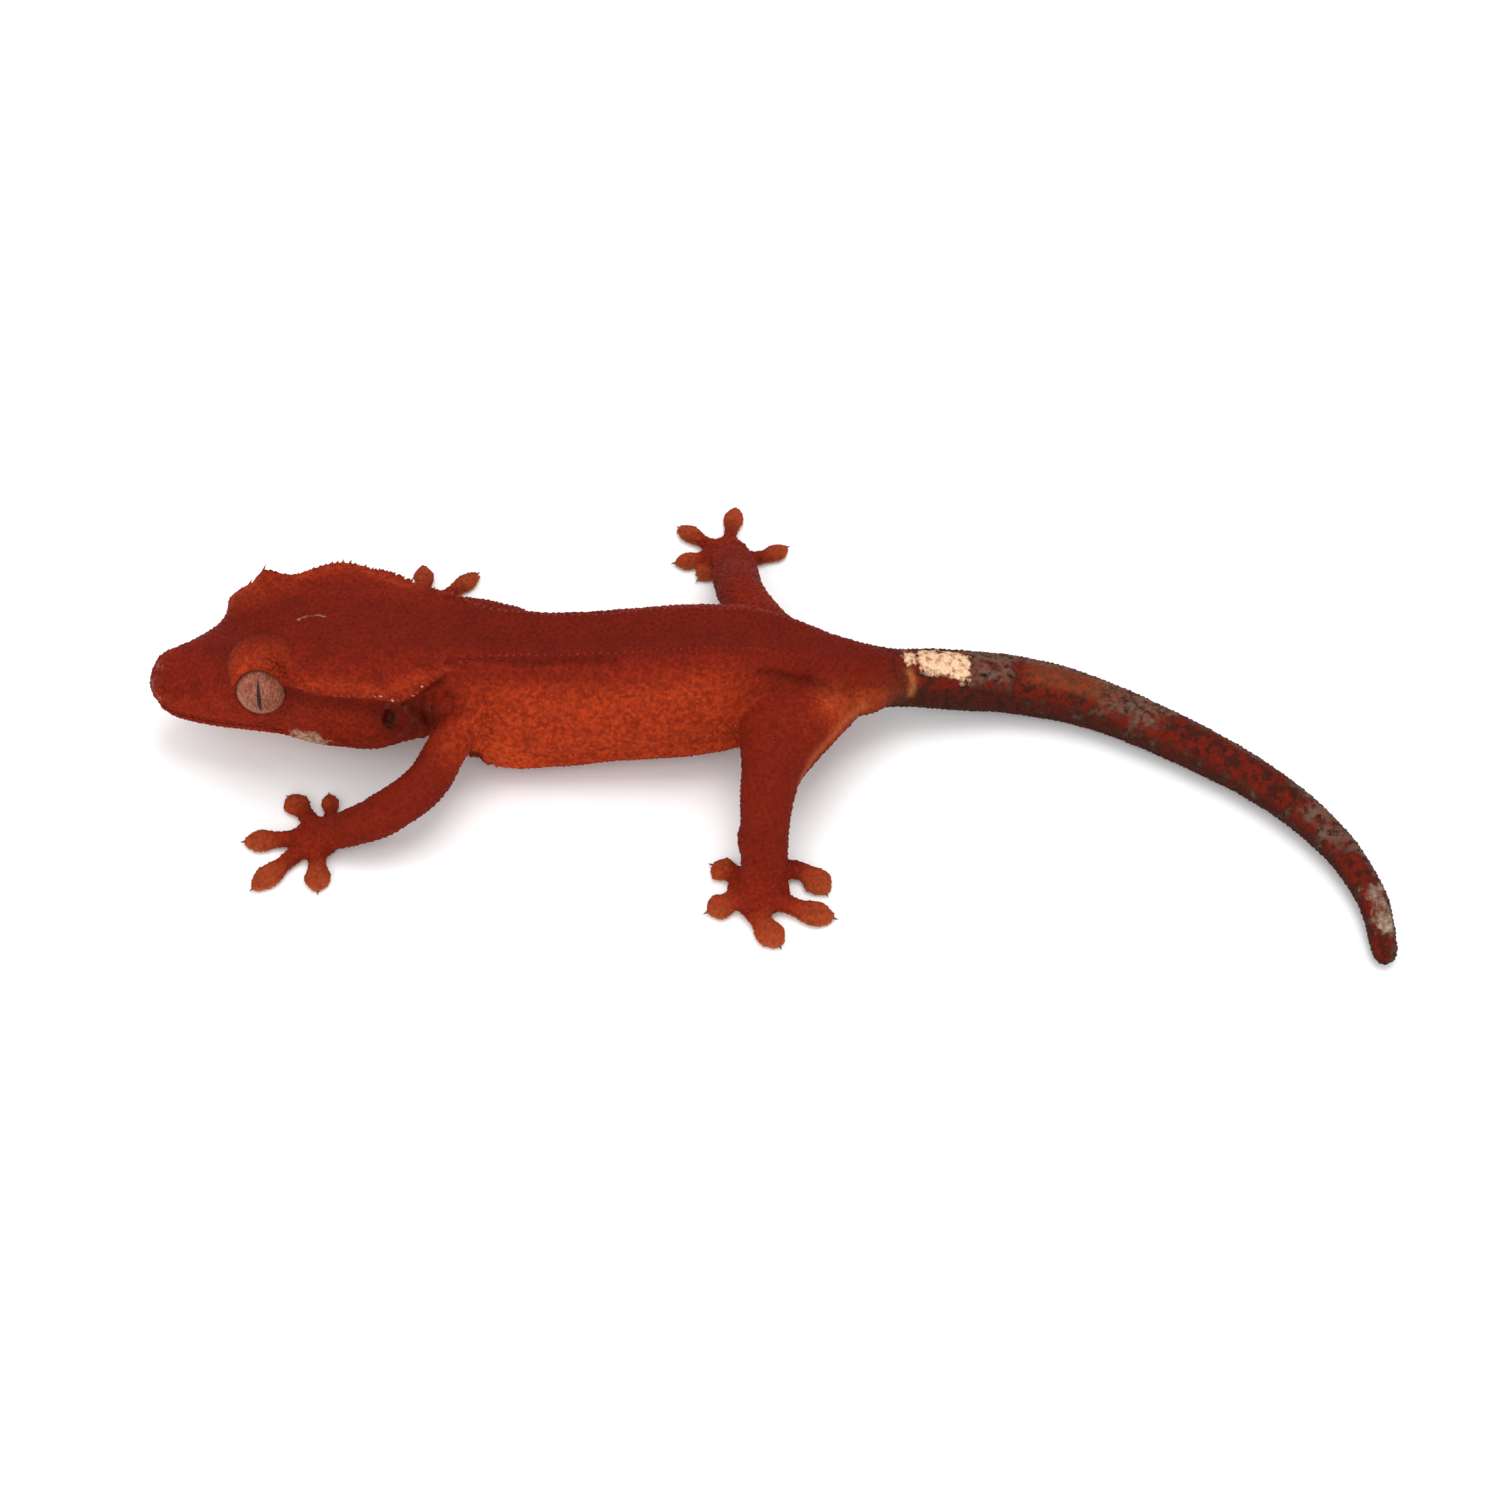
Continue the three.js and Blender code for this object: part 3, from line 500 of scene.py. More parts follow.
@dataclass
class Trunk:
    """Head, body and tail as one tube along the midline."""

    snout_rounding: float = 3.0
    tip_rounding: float = 1.5
    points_round: int = 40
    stations: list[dict] = field(default_factory=list)
    places: list[float] = field(default_factory=list)

    def __post_init__(self) -> None:
        """Puts body and tail sections in one list with their distances from the snout."""
        names = ("crest", "upper", "wide", "low")
        for s in BODY:
            row = {"x": s.x, "y": s.y, "turn": s.turn, "top": s.top, "base": s.base}
            for name in names:
                row[name], row[name + "_z"] = getattr(s, name)
            self.stations.append(row)
        for x, y, z, r in TAIL:
            row = {"x": x, "y": y, "turn": 0.0, "top": z + r, "base": z - r}
            shape = {"crest": (0.62, 0.78), "upper": (0.92, 0.4), "wide": (0.99, -0.12), "low": (0.7, -0.71)}
            for name, (out, lift) in shape.items():
                row[name], row[name + "_z"] = out * r, z + lift * r
            self.stations.append(row)
        self.places = [0.0]
        for a, b in zip(self.stations, self.stations[1:]):
            self.places.append(self.places[-1] + math.hypot(b["x"] - a["x"], b["y"] - a["y"]))

    @property
    def length(self) -> float:
        """Distance from the snout to the tip of the tail."""
        return self.places[-1]

    def size(self, name: str, s: float) -> float:
        """One size of the section at distance s."""
        return along(self.places, [row[name] for row in self.stations], s)

    def frame_at(self, s: float) -> tuple[Vector, Vector]:
        """The midline's point on the floor plan at distance s, and the direction to its right.

        Args:
            s: Distance from the snout.

        Returns:
            The point in millimetres and a unit vector.
        """
        a, b = max(s - 0.4, 0.0), min(s + 0.4, self.length)
        ahead = Vector((self.size("x", b) - self.size("x", a), self.size("y", b) - self.size("y", a), 0))
        ahead.normalize()
        side = Vector((-ahead.y, ahead.x, 0))
        side.rotate(Quaternion(UP, math.radians(self.size("turn", s))))
        return Vector((self.size("x", s), self.size("y", s), 0)), side

    def half_section(self, s: float) -> list[tuple[float, float]]:
        """The half section's (half width, height) points at distance s, from top to base.

        Args:
            s: Distance from the snout.

        Returns:
            The points in millimetres, drawn in towards both rounded ends.
        """
        def rounded(distance: float, reach: float) -> float:
            """How far an end is drawn in at a distance from it."""
            t = min(1.0, distance / reach)
            return math.sqrt(max(0.0, 1 - (1 - t) ** 2))

        shrink = rounded(s, self.snout_rounding) * rounded(self.length - s, self.tip_rounding)
        centre = self.size("wide_z", s)
        names = ("crest", "upper", "wide", "low")
        points = [(0.0, self.size("top", s))]
        points += [(self.size(n, s), self.size(n + "_z", s)) for n in names]
        points.append((0.0, self.size("base", s)))
        return [(y * shrink, centre + (z - centre) * shrink) for y, z in points]

    def ring(self, s: float) -> list[Vector]:
        """The skin's points round the section at distance s.

        Args:
            s: Distance from the snout.

        Returns:
            The points in millimetres.
        """
        half = self.half_section(s)
        outline = half + [(-y, z) for y, z in reversed(half[1:-1])]
        point, side = self.frame_at(s)
        corners = [point + side * y + UP * z for y, z in outline]
        return [spline(corners, k / self.points_round, True) for k in range(self.points_round)]

    def place(self, x: float, right: float, height: float) -> Vector:
        """A point of head or body from its x, its distance to the right and its height."""
        point, side = self.frame_at(x - BODY[0].x)
        return point + side * right + UP * height

    def half_width(self, x: float, z: float) -> float:
        """The half width of the skin at a height on the body's side."""
        half = self.half_section(x - BODY[0].x)
        return along([-h for _, h in half], [y for y, _ in half], -z)

    def mesh(self) -> bmesh.types.BMesh:
        """The closed tube, with rings close together at the head and at the rounded ends.

        Returns:
            A mesh of its own, in millimetres.
        """
        turns = [8, 18, 28, 38, 48, 58, 70, 82]
        places = [self.snout_rounding * (1 - math.cos(math.radians(t))) for t in turns]
        s = self.snout_rounding
        while s < self.length - self.tip_rounding:
            places.append(s)
            s += 0.6 if s < 35 else 1.0
        places += [self.length - self.tip_rounding * (1 - math.cos(math.radians(t))) for t in reversed(turns)]
        return loft([self.ring(p) for p in places])


@dataclass
class Limb:
    """One arm or leg as an oval tube through its joints."""

    sizes: LimbSizes
    steps: int = 36
    sides: int = 24

    def centre(self, t: float) -> Vector:
        """The limb's centre at a share of its length."""
        return spline([Vector(p) for p in self.sizes.path], t)

    def frame_at(self, t: float) -> tuple[Vector, Vector, float, float]:
        """Directions across and upward at a share of the length, and the radii along them.

        Args:
            t: Share of the limb's length.

        Returns:
            Two unit vectors and two radii in millimetres.
        """
        a, b = self.centre(max(t - 0.01, 0)), self.centre(min(t + 0.01, 1))
        forward = (b - a).normalized()
        across = UP.cross(forward).normalized()
        knots = [i / (len(self.sizes.path) - 1) for i in range(len(self.sizes.path))]
        wide = along(knots, [r[0] for r in self.sizes.radii], t)
        high = along(knots, [r[1] for r in self.sizes.radii], t)
        return across, forward.cross(across), wide, high

    def mesh(self) -> bmesh.types.BMesh:
        """The closed tube.

        Returns:
            A mesh of its own, in millimetres.
        """
        rings = []
        for i in range(self.steps + 1):
            t = i / self.steps
            across, upward, wide, high = self.frame_at(t)
            turns = [2 * math.pi * k / self.sides for k in range(self.sides)]
            centre = self.centre(t)
            rings.append([centre + across * wide * math.cos(a) + upward * high * math.sin(a) for a in turns])
        return loft(rings)


@dataclass
class Toe:
    """One toe with its broad pad, flat on the floor.

    It is sunk by a share of its half height, so that its underside is cut flat at the floor.
    """

    foot: FootSizes
    sizes: ToeSizes
    sides: int = 16
    steps: int = 22
    sunk: float = 0.06

    def centre(self, share: float) -> Vector:
        """The toe's line on the floor at a share of its reach.

        Args:
            share: Share of the reach.

        Returns:
            The point in millimetres.
        """
        start = Vector((*(self.sizes.root or self.foot.palm), 0))
        way = Vector((*self.sizes.tip, 0)) - start
        across = Vector((-way.y, way.x, 0)).normalized()
        return start + way * share + across * self.sizes.bend * math.sin(math.pi * share)

    def heading(self, share: float) -> Vector:
        """The direction of the toe's line."""
        return (self.centre(share + 0.02) - self.centre(share - 0.02)).normalized()

    def height(self, share: float) -> float:
        """The toe's height at a share of its reach."""
        return along([t[0] for t in TOE], [t[2] for t in TOE], share)

    def mesh(self) -> bmesh.types.BMesh:
        """The closed toe.

        Returns:
            A mesh of its own, in millimetres.
        """
        shares = [t[0] for t in TOE]
        rings = []
        for i in range(self.steps + 1):
            share = shares[0] + (shares[-1] - shares[0]) * i / self.steps
            half = along(shares, [t[1] for t in TOE], share) * self.foot.broad * self.sizes.slim
            high = self.height(share)
            line = self.heading(share)
            side = Vector((-line.y, line.x, 0))
            ring = []
            for k in range(self.sides):
                a = 2 * math.pi * k / self.sides
                lift = high / 2 * (1 + math.sin(a) * (1 + self.sunk))
                ring.append(self.centre(share) + side * half * math.cos(a) + UP * lift)
            rings.append(ring)
        return loft(rings)


@dataclass(frozen=True)
class EyeSizes:
    """Where an eye sits in the head and which way it looks, in millimetres."""

    x: float = -39.7
    right: float = 5.9
    height: float = 14.5
    radius: float = 3.5
    up_tilt: float = 0.36
    fore_tilt: float = 0.12
    lid_radius: float = 3.2
    lid_thickness: float = 0.6
    lid_out: float = 1.55
    opening: float = 57.0
    brow_radius: float = 4.25
    brow_inward: float = 2.0
    brow_up: float = 1.45

    def frame(self, trunk: Trunk, flip: int) -> tuple[Vector, Vector]:
        """The eye's centre and the direction it looks in.

        Args:
            trunk: The head and body.
            flip: -1 for the left eye, 1 for the right one.

        Returns:
            The centre in millimetres and a unit vector.
        """
        centre = trunk.place(self.x, flip * self.right, self.height)
        outward = trunk.place(self.x, float(flip), 0) - trunk.place(self.x, 0, 0)
        return centre, (outward + Vector((-self.fore_tilt, 0, self.up_tilt))).normalized()


class Atlas:
    """Knows which length of flesh a point belongs to, and its place along and round it."""

    def __init__(self, trunk: Trunk, limbs: Sequence[Limb], toes: Sequence[Toe]) -> None:
        """Samples every centreline.

        Args:
            trunk: The head, body and tail.
            limbs: The four limbs.
            toes: The twenty toes.
        """
        self.rows: list[tuple] = []
        self.trunk = trunk
        for k in range(int(trunk.length / 0.5) + 1):
            s = k * 0.5
            point, side = trunk.frame_at(s)
            half = trunk.half_section(s)
            middle = (half[0][1] + half[-1][1]) / 2
            radius = max(0.8, (half[0][1] - half[-1][1] + 2 * half[3][0]) / 4)
            self.rows.append((Part.TRUNK, 0, s / trunk.length, point + UP * middle, side, UP, radius, s))
        # The first fifth of a limb lies in the trunk, and the first third of a toe in the palm
        for i, limb in enumerate(limbs):
            for k in range(12, 61):
                t = k / 60
                across, upward, wide, high = limb.frame_at(t)
                self.rows.append((Part.LIMB, i, t, limb.centre(t), across, upward, (wide + high) / 2, t))
        for i, toe in enumerate(toes):
            for k in range(6, 21):
                t = k / 20
                line = toe.heading(t)
                side = Vector((-line.y, line.x, 0))
                high = toe.height(t) / 2
                self.rows.append((Part.TOE, i, t, toe.centre(t) + UP * high, side, UP, 1.2, t))
        self.trees = {}
        for part in Part:
            members = [n for n, row in enumerate(self.rows) if row[0] is part]
            tree = KDTree(len(members))
            for n in members:
                tree.insert(self.rows[n][3], n)
            tree.balance()
            self.trees[part] = tree

    def locate(self, point: Vector) -> tuple[tuple, float]:
        """The centreline sample that a skin point belongs to, and its angle round it.

        Args:
            point: A point of the skin in millimetres.

        Returns:
            The sample's row, and the angle from the top, positive to the right.
        """
        best, least = None, 1e9
        for tree in self.trees.values():
            _, n, distance = tree.find(point)
            row = self.rows[n]
            if distance / row[6] < least:
                best, least = row, distance / row[6]
        out = point - best[3]
        return best, math.atan2(out.dot(best[4]), out.dot(best[5]))

    def unwrap(self, row: tuple, angle: float) -> tuple[float, float]:
        """The place of a root on the unwrap of the skin: a band for the trunk, a cell for each other part.

        Args:
            row: The centreline sample that it belongs to.
            angle: The angle round it.

        Returns:
            Its two coordinates.
        """
        turn = angle / (2 * math.pi) + 0.5
        part, index, share = row[0], row[1], row[2]
        if part is Part.TRUNK:
            return 0.01 + 0.98 * share, 0.01 + 0.44 * turn
        if part is Part.LIMB:
            return 0.01 + 0.245 * index + 0.23 * share, 0.48 + 0.22 * turn
        return 0.01 + 0.098 * (index % 10) + 0.09 * share, 0.73 + 0.13 * (index // 10) + 0.12 * turn


class StrokeField:
    """Finds how near a point lies to each stroke, on both sides of the body."""

    def __init__(self, trunk: Trunk, skin: BVHTree) -> None:
        """Lays every stroke on the skin.

        Args:
            trunk: The head and body that the strokes' points are placed by.
            skin: The skin's surface in millimetres.
        """
        self.trees: list[KDTree] = []
        for stroke in STROKES:
            spots = []
            for flip in stroke.sides:
                line = [trunk.place(x, flip * out, z) for x, out, z in stroke.points]
                spots += [skin.find_nearest(spline(line, k / 40))[0] for k in range(41)]
            tree = KDTree(len(spots))
            for n, spot in enumerate(spots):
                tree.insert(spot, n)
            tree.balance()
            self.trees.append(tree)

    def strength(self, point: Vector) -> list[float]:
        """How strongly each stroke acts at a point, from 0 to 1."""
        reach = [tree.find(point)[2] / stroke.width for tree, stroke in zip(self.trees, STROKES)]
        return [math.exp(-r * r) if r < 3 else 0.0 for r in reach]

    def depth(self, point: Vector) -> float:
        """How far the strokes press the skin in at a point."""
        return sum(w * stroke.depth for w, stroke in zip(self.strength(point), STROKES))


@dataclass
class Sites:
    """Where points lie on the animal, as arrays with a value for each point.

    head, body, tail, limb and toe are 1 there, signed is the angle from the top in radians, positive to the
    right, s the distance from the snout, and share the share of the way along a limb or toe.
    """

    points: np.ndarray
    head: np.ndarray
    body: np.ndarray
    tail: np.ndarray
    limb: np.ndarray
    toe: np.ndarray
    signed: np.ndarray
    s: np.ndarray
    share: np.ndarray

    @property
    def angle(self) -> np.ndarray:
        """The angle from the top, the same on both sides."""
        return np.abs(self.signed)


class Markings:
    """The animal's markings, and the shade painted into its creases and hollows, worked out from where a
    point lies on it.
    """

    NAMES = ("dark", "bright", "cream", "grey", "tan", "tail", "pale", "crease_shade")

    def __init__(self, atlas: Atlas, eye: EyeSizes) -> None:
        """Keeps what the markings are placed by.

        Args:
            atlas: Finds the place of a point on the body.
            eye: The eyes' sizes.
        """
        self.atlas = atlas
        self.eyes = [eye.frame(atlas.trunk, flip) for flip in (-1, 1)]
        self.strokes: StrokeField | None = None

    def sites(self, points: np.ndarray) -> Sites:
        """Where points in millimetres lie on the animal.

        Args:
            points: An array of points in millimetres, one row each.

        Returns:
            Their places on the animal.
        """
        found = [self.atlas.locate(Vector(p)) for p in points]
        trunk, limb, toe = (np.array([row[0] is part for row, _ in found], float) for part in Part)
        s = np.where(trunk > 0, [row[7] for row, _ in found], -1.0)
        head = trunk * (1 - smooth_step(31, 36, s))
        tail = trunk * smooth_step(85, 90, s)
        body = trunk * (1 - head) * (1 - tail)
        signed = np.array([angle for _, angle in found])
        return Sites(points, head, body, tail, limb, toe, signed, s, np.array([row[2] for row, _ in found]))

    def of(self, points: np.ndarray) -> np.ndarray:
        """Mark strengths at points.

        Args:
            points: An array of points in millimetres, one row each.

        Returns:
            An array with a column for each of the marks' names.
        """
        at = self.sites(points)
        marks = {name: np.zeros(len(points)) for name in self.NAMES}
        self.tones(marks, at)
        self.tail_bands(marks, at)
        self.patches(marks, at)
        if self.strokes:
            acts = np.array([self.strokes.strength(Vector(p)) for p in points])
            for k, stroke in enumerate(STROKES):
                for name, weight in stroke.marks:
                    marks[name] += weight * acts[:, k]
        return np.clip(np.stack([marks[name] for name in self.NAMES], 1), 0, 1)

    def tones(self, marks: dict[str, np.ndarray], at: Sites) -> None:
        """Adds the dark back, the brighter flanks, the pale belly, the pale top of the snout's tip with a
        painted highlight, and the lighter toes.

        Args:
            marks: The marks by name, which grow.
            at: Where the points lie.
        """
        height = at.points[:, 2]
        top = 1 - smooth_step(0.34, 0.52, at.angle)
        flank = smooth_step(0.42, 1.1, at.angle) * (1 - smooth_step(2.3, 2.8, at.angle))
        hip = smooth_step(68, 76, at.s)
        crown = smooth_step(2, 12, at.s) * (1 - smooth_step(0.3, 0.85, at.angle))
        pad = smooth_step(0.3, 0.75, at.share)
        marks["dark"] += at.body * np.maximum(0.75 * top, 0.55 * hip) + 0.6 * at.head * crown
        marks["dark"] += at.limb * (0.2 + 0.35 * band(0.4, 0.72, 0.2, at.share)) + 0.22 * at.toe * (1 - pad)
        marks["bright"] += at.body * flank * (1 - 0.8 * hip) * (0.14 + 0.48 * smooth_step(33, 45, at.s))
        marks["bright"] += 0.12 * at.head * smooth_step(0.9, 1.4, at.angle)
        marks["bright"] += 0.1 * at.limb + at.toe * (0.1 + 0.2 * pad)
        marks["tan"] += 0.24 * at.toe * smooth_step(0.35, 0.8, at.share)
        marks["tan"] += 0.75 * (at.head + at.body) * smooth_step(2.4, 2.9, at.angle)
        # The thin edge of each pad, next to the floor
        marks["tan"] += 0.7 * at.toe * (1 - smooth_step(0.3, 0.95, height))
        # The top of the snout's tip: a paler tone with a painted highlight
        marks["pale"] += 0.22 * at.head * (1 - smooth_step(0.2, 4.0, at.s)) * smooth_step(7.6, 9.5, height)

    def tail_bands(self, marks: dict[str, np.ndarray], at: Sites) -> None:
        """Adds the cream patch, the grey-brown saddles, and the dark underside of the tail, which is painted
        shade.

        Args:
            marks: The marks by name, which grow.
            at: Where the points lie.
        """
        t = at.s - TAIL_START
        above = 1 - smooth_step(0.5, 1.2, at.angle)
        # The cream patch reaches further down the sides towards its rear end, and less far to the right
        reach = 0.22 + 0.5 * smooth_step(-1.0, 6.5, t)
        cream = band(0.3, 7.3, 1.5, t) * (1 - smooth_step(reach - 0.35, reach + 0.4, at.angle))
        cream *= 1 - 0.6 * smooth_step(2.0, 5.0, t) * smooth_step(0.1, 0.6, at.signed)
        marks["cream"] += 0.94 * at.tail * cream
        # Three saddles, then the edges along the right side and under the left one
        saddles = band(8.4, 12.8, 1.8, t) + band(27.0, 31.5, 4.0, t) + band(55.0, 59.5, 3.5, t)
        edge = 0.62 * smooth_step(9, 14, t) * smooth_step(0.0, 0.55, at.signed)
        edge += 0.26 * smooth_step(12, 20, t) * band(1.1, 1.6, 0.4, -at.signed)
        marks["grey"] += at.tail * (0.85 * saddles * above + edge)
        marks["tan"] += at.tail * 0.22 * band(17.0, 24.0, 3.0, t) * band(0.0, 0.4, 0.35, at.angle)
        marks["pale"] += 0.55 * at.tail * band(67.5, 71.5, 3.0, t) * above
        # The whole tail is a little darker, and darker again along its right side; painted shade darkens its
        # lower sides and underside
        shade = 0.22 + 0.5 * smooth_step(0.0, 0.6, at.signed) + 0.75 * smooth_step(0.9, 1.4, at.angle)
        marks["dark"] += at.tail * shade
        marks["tail"] += at.tail

    def patches(self, marks: dict[str, np.ndarray], at: Sites) -> None:
        """Adds the patches, and the orange domes over the eyes.

        Args:
            marks: The marks by name, which grow.
            at: Where the points lie.
        """
        place = self.atlas.trunk.place
        for patch in PATCHES:
            x, out, height = patch.centre
            spots = [place(x, flip * out, height) for flip in (-1, 1)] if patch.paired else [patch.centre]
            for spot in spots:
                strength = blob(at.points, spot, patch.radii)
                for name, weight in patch.marks:
                    marks[name] += weight * strength
        for centre, gaze in self.eyes:
            dome = blob(at.points, centre + UP * 3.0 - gaze * 0.4, (5.6, 4.6, 4.4))
            marks["bright"] += 0.62 * dome * at.head

    def paint(self, mesh: bpy.types.Mesh, points: np.ndarray, repeat: int = 1) -> None:
        """Stores the marks on a mesh's points.

        Args:
            mesh: The mesh to mark.
            points: Where to read the marks, in millimetres.
            repeat: How many vertices in turn share each point.
        """
        table = np.repeat(self.of(points), repeat, 0).astype(np.float32)
        for name, values in (("marks_a", table[:, :4]), ("marks_b", table[:, 4:])):
            layer = mesh.attributes.new(name, "FLOAT_COLOR", "POINT")
            layer.data.foreach_set("color", values.ravel())


def linear(code: str) -> tuple[float, float, float, float]:
    """An sRGB hex colour as linear red, green, blue and alpha."""
    parts = [int(code[i:i + 2], 16) / 255 for i in (1, 3, 5)]
    return (*(c / 12.92 if c <= 0.04045 else ((c + 0.055) / 1.055) ** 2.4 for c in parts), 1.0)


class Kind(Enum):
    """The nodes in use: type, fixed settings, the inputs that are given in order, and the main output."""

    PLACE = ("ShaderNodeTexCoord", {}, (), "Object")
    COLOURS = ("ShaderNodeAttribute", {}, (), "Color")
    VALUES = ("ShaderNodeAttribute", {}, (), "Fac")
    AXES = ("ShaderNodeAttribute", {}, (), "Vector")
    SPLIT = ("ShaderNodeSeparateColor", {}, (0,), 0)
    SPLIT_AXES = ("ShaderNodeSeparateXYZ", {}, (0,), 0)
    STRETCH = ("ShaderNodeMapping", {}, ("Vector", "Scale"), 0)
    CLOUD = ("ShaderNodeTexNoise", {}, ("Vector", "Scale", "Detail", "Roughness", "Distortion"), 0)
    CELLS = ("ShaderNodeTexVoronoi", {}, ("Vector", "Scale"), "Distance")
    NET = ("ShaderNodeTexVoronoi", {"feature": "DISTANCE_TO_EDGE"}, ("Vector", "Scale"), 0)
    MIX = ("ShaderNodeMix", {"data_type": "RGBA", "clamp_factor": True}, (0, 6, 7), 2)
    STEP = ("ShaderNodeMapRange", {"interpolation_type": "SMOOTHSTEP"}, ("Value", "From Min", "From Max"), 0)
    PLUS = ("ShaderNodeMath", {"operation": "ADD"}, (0, 1), 0)
    MINUS = ("ShaderNodeMath", {"operation": "SUBTRACT"}, (0, 1), 0)
    TIMES = ("ShaderNodeMath", {"operation": "MULTIPLY"}, (0, 1), 0)
    LINE = ("ShaderNodeMath", {"operation": "MULTIPLY_ADD"}, (0, 1, 2), 0)
    ROOT = ("ShaderNodeMath", {"operation": "SQRT"}, (0,), 0)
    SIZE = ("ShaderNodeMath", {"operation": "ABSOLUTE"}, (0,), 0)
    BUMP = ("ShaderNodeBump", {}, ("Height", "Strength", "Distance"), 0)


def wire(tree: bpy.types.NodeTree, made: bpy.types.Node, inputs: dict[str | int, object]) -> None:
    """Sets a node's inputs, or links them to other nodes.

    Args:
        tree: The tree that the node is in.
        made: The node.
        inputs: Input name or number to a value or to another node's output.
    """
    for name, value in inputs.items():
        if isinstance(value, bpy.types.NodeSocket):
            tree.links.new(value, made.inputs[name])
        else:
            made.inputs[name].default_value = value


def node(tree: bpy.types.NodeTree, kind: Kind, *values: object, **settings: object) -> bpy.types.NodeSocket:
    """Adds a node with its settings and links.

    Args:
        tree: The tree it goes into.
        kind: What it is.
        *values: Its inputs in the kind's order, each a value or another node's output.
        **settings: The node's own properties.

    Returns:
        Its main output.
    """
    type_name, fixed, names, output = kind.value
    made = tree.nodes.new(type_name)
    for name, value in {**fixed, **settings}.items():
        setattr(made, name, value)
    wire(tree, made, dict(zip(names, values)))
    return made.outputs[output]


def surface(name: str) -> tuple[bpy.types.Material, bpy.types.NodeTree, bpy.types.Node]:
    """A new material, its node tree and its shader.

    Args:
        name: What the material is called.

    Returns:
        The material, the tree and the shader.
    """
    material = bpy.data.materials.new(name)
    material.use_nodes = True
    return material, material.node_tree, material.node_tree.nodes["Principled BSDF"]


@dataclass(frozen=True)
class GeckoSkin:
    """Live reptile skin: fine matt granules, each its own shade, over markings with ragged edges, with shade
    painted into its creases, hollows and the tail's underside and into the gaps between the granules.

    Blotches, flecks and the frayed edges are clouds, each with a size in millimetres, detail and roughness.
    """

    name: str = "granular_gecko_skin"
    red: str = "#82200F"
    deep: str = "#57140A"
    orange: str = "#B84019"
    cream: str = "#DDB896"
    gold: str = "#9A6030"
    grey: str = "#6B4F41"
    tail_red: str = "#64180D"
    # The near-black brown of the tail's dark patches and flecks, and of the painted shade on its underside
    underside: str = "#2C1811"
    tan: str = "#B4693C"
    pale: str = "#BCA48C"
    shadow: str = "#210A06"
    granule_mm: float = 0.42
    granule_lift_mm: float = 0.1
    blotches: tuple[float, float, float] = (2.6, 4.0, 0.5)
    flecks: tuple[float, float, float] = (0.8, 3.0, 0.5)
    fray: tuple[float, float, float] = (1.3, 5.0, 0.62)
    roughness: float = 0.7

    def make(self) -> bpy.types.Material:
        """Builds the material. Fine granules give the eye a velvety, speckled surface.

        Returns:
            The material.
        """
        material, tree, shader = surface(self.name)
        add = partial(node, tree)
        where = add(Kind.PLACE)
        marks_a = add(Kind.COLOURS, attribute_name="marks_a")
        marks_b = add(Kind.COLOURS, attribute_name="marks_b")
        dark, bright, cream = add(Kind.SPLIT, marks_a).node.outputs
        tan, tail, pale = add(Kind.SPLIT, marks_b).node.outputs
        grey, crease_shade = marks_a.node.outputs["Alpha"], marks_b.node.outputs["Alpha"]
        cells = add(Kind.CELLS, where, 1 / (self.granule_mm * MM))
        speck = add(Kind.SPLIT, cells.node.outputs["Color"])
        blotches, flecks, fray = (
            add(Kind.CLOUD, where, 1 / (size * MM), detail, rough)
            for size, detail, rough in (self.blotches, self.flecks, self.fray)
        )
        # The noise that breaks up the marks' edges, about zero
        wander = add(Kind.LINE, add(Kind.LINE, blotches, 0.45, fray), 1.9, -1.3775)

        def ragged(mark: bpy.types.NodeSocket, low: float, high: float) -> bpy.types.NodeSocket:
            """A mark with its edge broken up by the noise."""
            noisy = add(Kind.LINE, wander, add(Kind.STEP, mark, 0.0, 0.2), mark)
            return add(Kind.STEP, noisy, low, high)

        # Each granule has its own shade between two reds, which drift in blotches
        grain = add(Kind.TIMES, speck, 0.45)
        lit = add(Kind.STEP, add(Kind.LINE, blotches, 0.9, grain), 0.3, 1.05)
        colour = add(Kind.MIX, add(Kind.LINE, lit, 0.6, 0.25), linear(self.deep), linear(self.red))
        spark = add(Kind.STEP, add(Kind.LINE, flecks, 0.9, grain), 0.4, 1.0)
        soot = add(Kind.TIMES, add(Kind.TIMES, tail, add(Kind.STEP, fray, 0.43, 0.58)), 0.82)
        night = add(Kind.MIX, tail, linear(self.deep), linear(self.underside))
        dry = add(Kind.MIX, add(Kind.STEP, flecks, 0.4, 0.7), linear(self.grey), linear(self.underside))
        milk = add(Kind.MIX, add(Kind.STEP, flecks, 0.28, 0.52), linear(self.gold), linear(self.cream))
        # Each layer's strength and colour, from the first to the last one laid on
        layers = (
            (add(Kind.TIMES, bright, add(Kind.LINE, spark, 0.65, 0.35)), linear(self.orange)),
            (add(Kind.TIMES, tail, add(Kind.LINE, flecks, 0.8, 0.1)), linear(self.tail_red)),
            (soot, linear(self.underside)),
            # The dark mark: the dark back, limbs and rough skin, and painted shade on the tail's underside,
            # in the armpit, on the neck's side and under the crest
            (add(Kind.TIMES, dark, add(Kind.LINE, speck, 0.3, 0.6)), night),
            (add(Kind.TIMES, ragged(grey, 0.15, 1.1), 0.85), dry),
            (add(Kind.TIMES, tan, add(Kind.LINE, flecks, 0.6, 0.4125)), linear(self.tan)),
            (ragged(cream, 0.3, 0.75), milk),
            (add(Kind.TIMES, ragged(pale, 0.15, 1.1), 0.75), linear(self.pale)),
            # Painted shade: the shadow colour laid into creases, folds and hollows
            (add(Kind.TIMES, crease_shade, 0.8), linear(self.shadow)),
        )
        for strength, shade in layers:
            colour = add(Kind.MIX, strength, colour, shade)
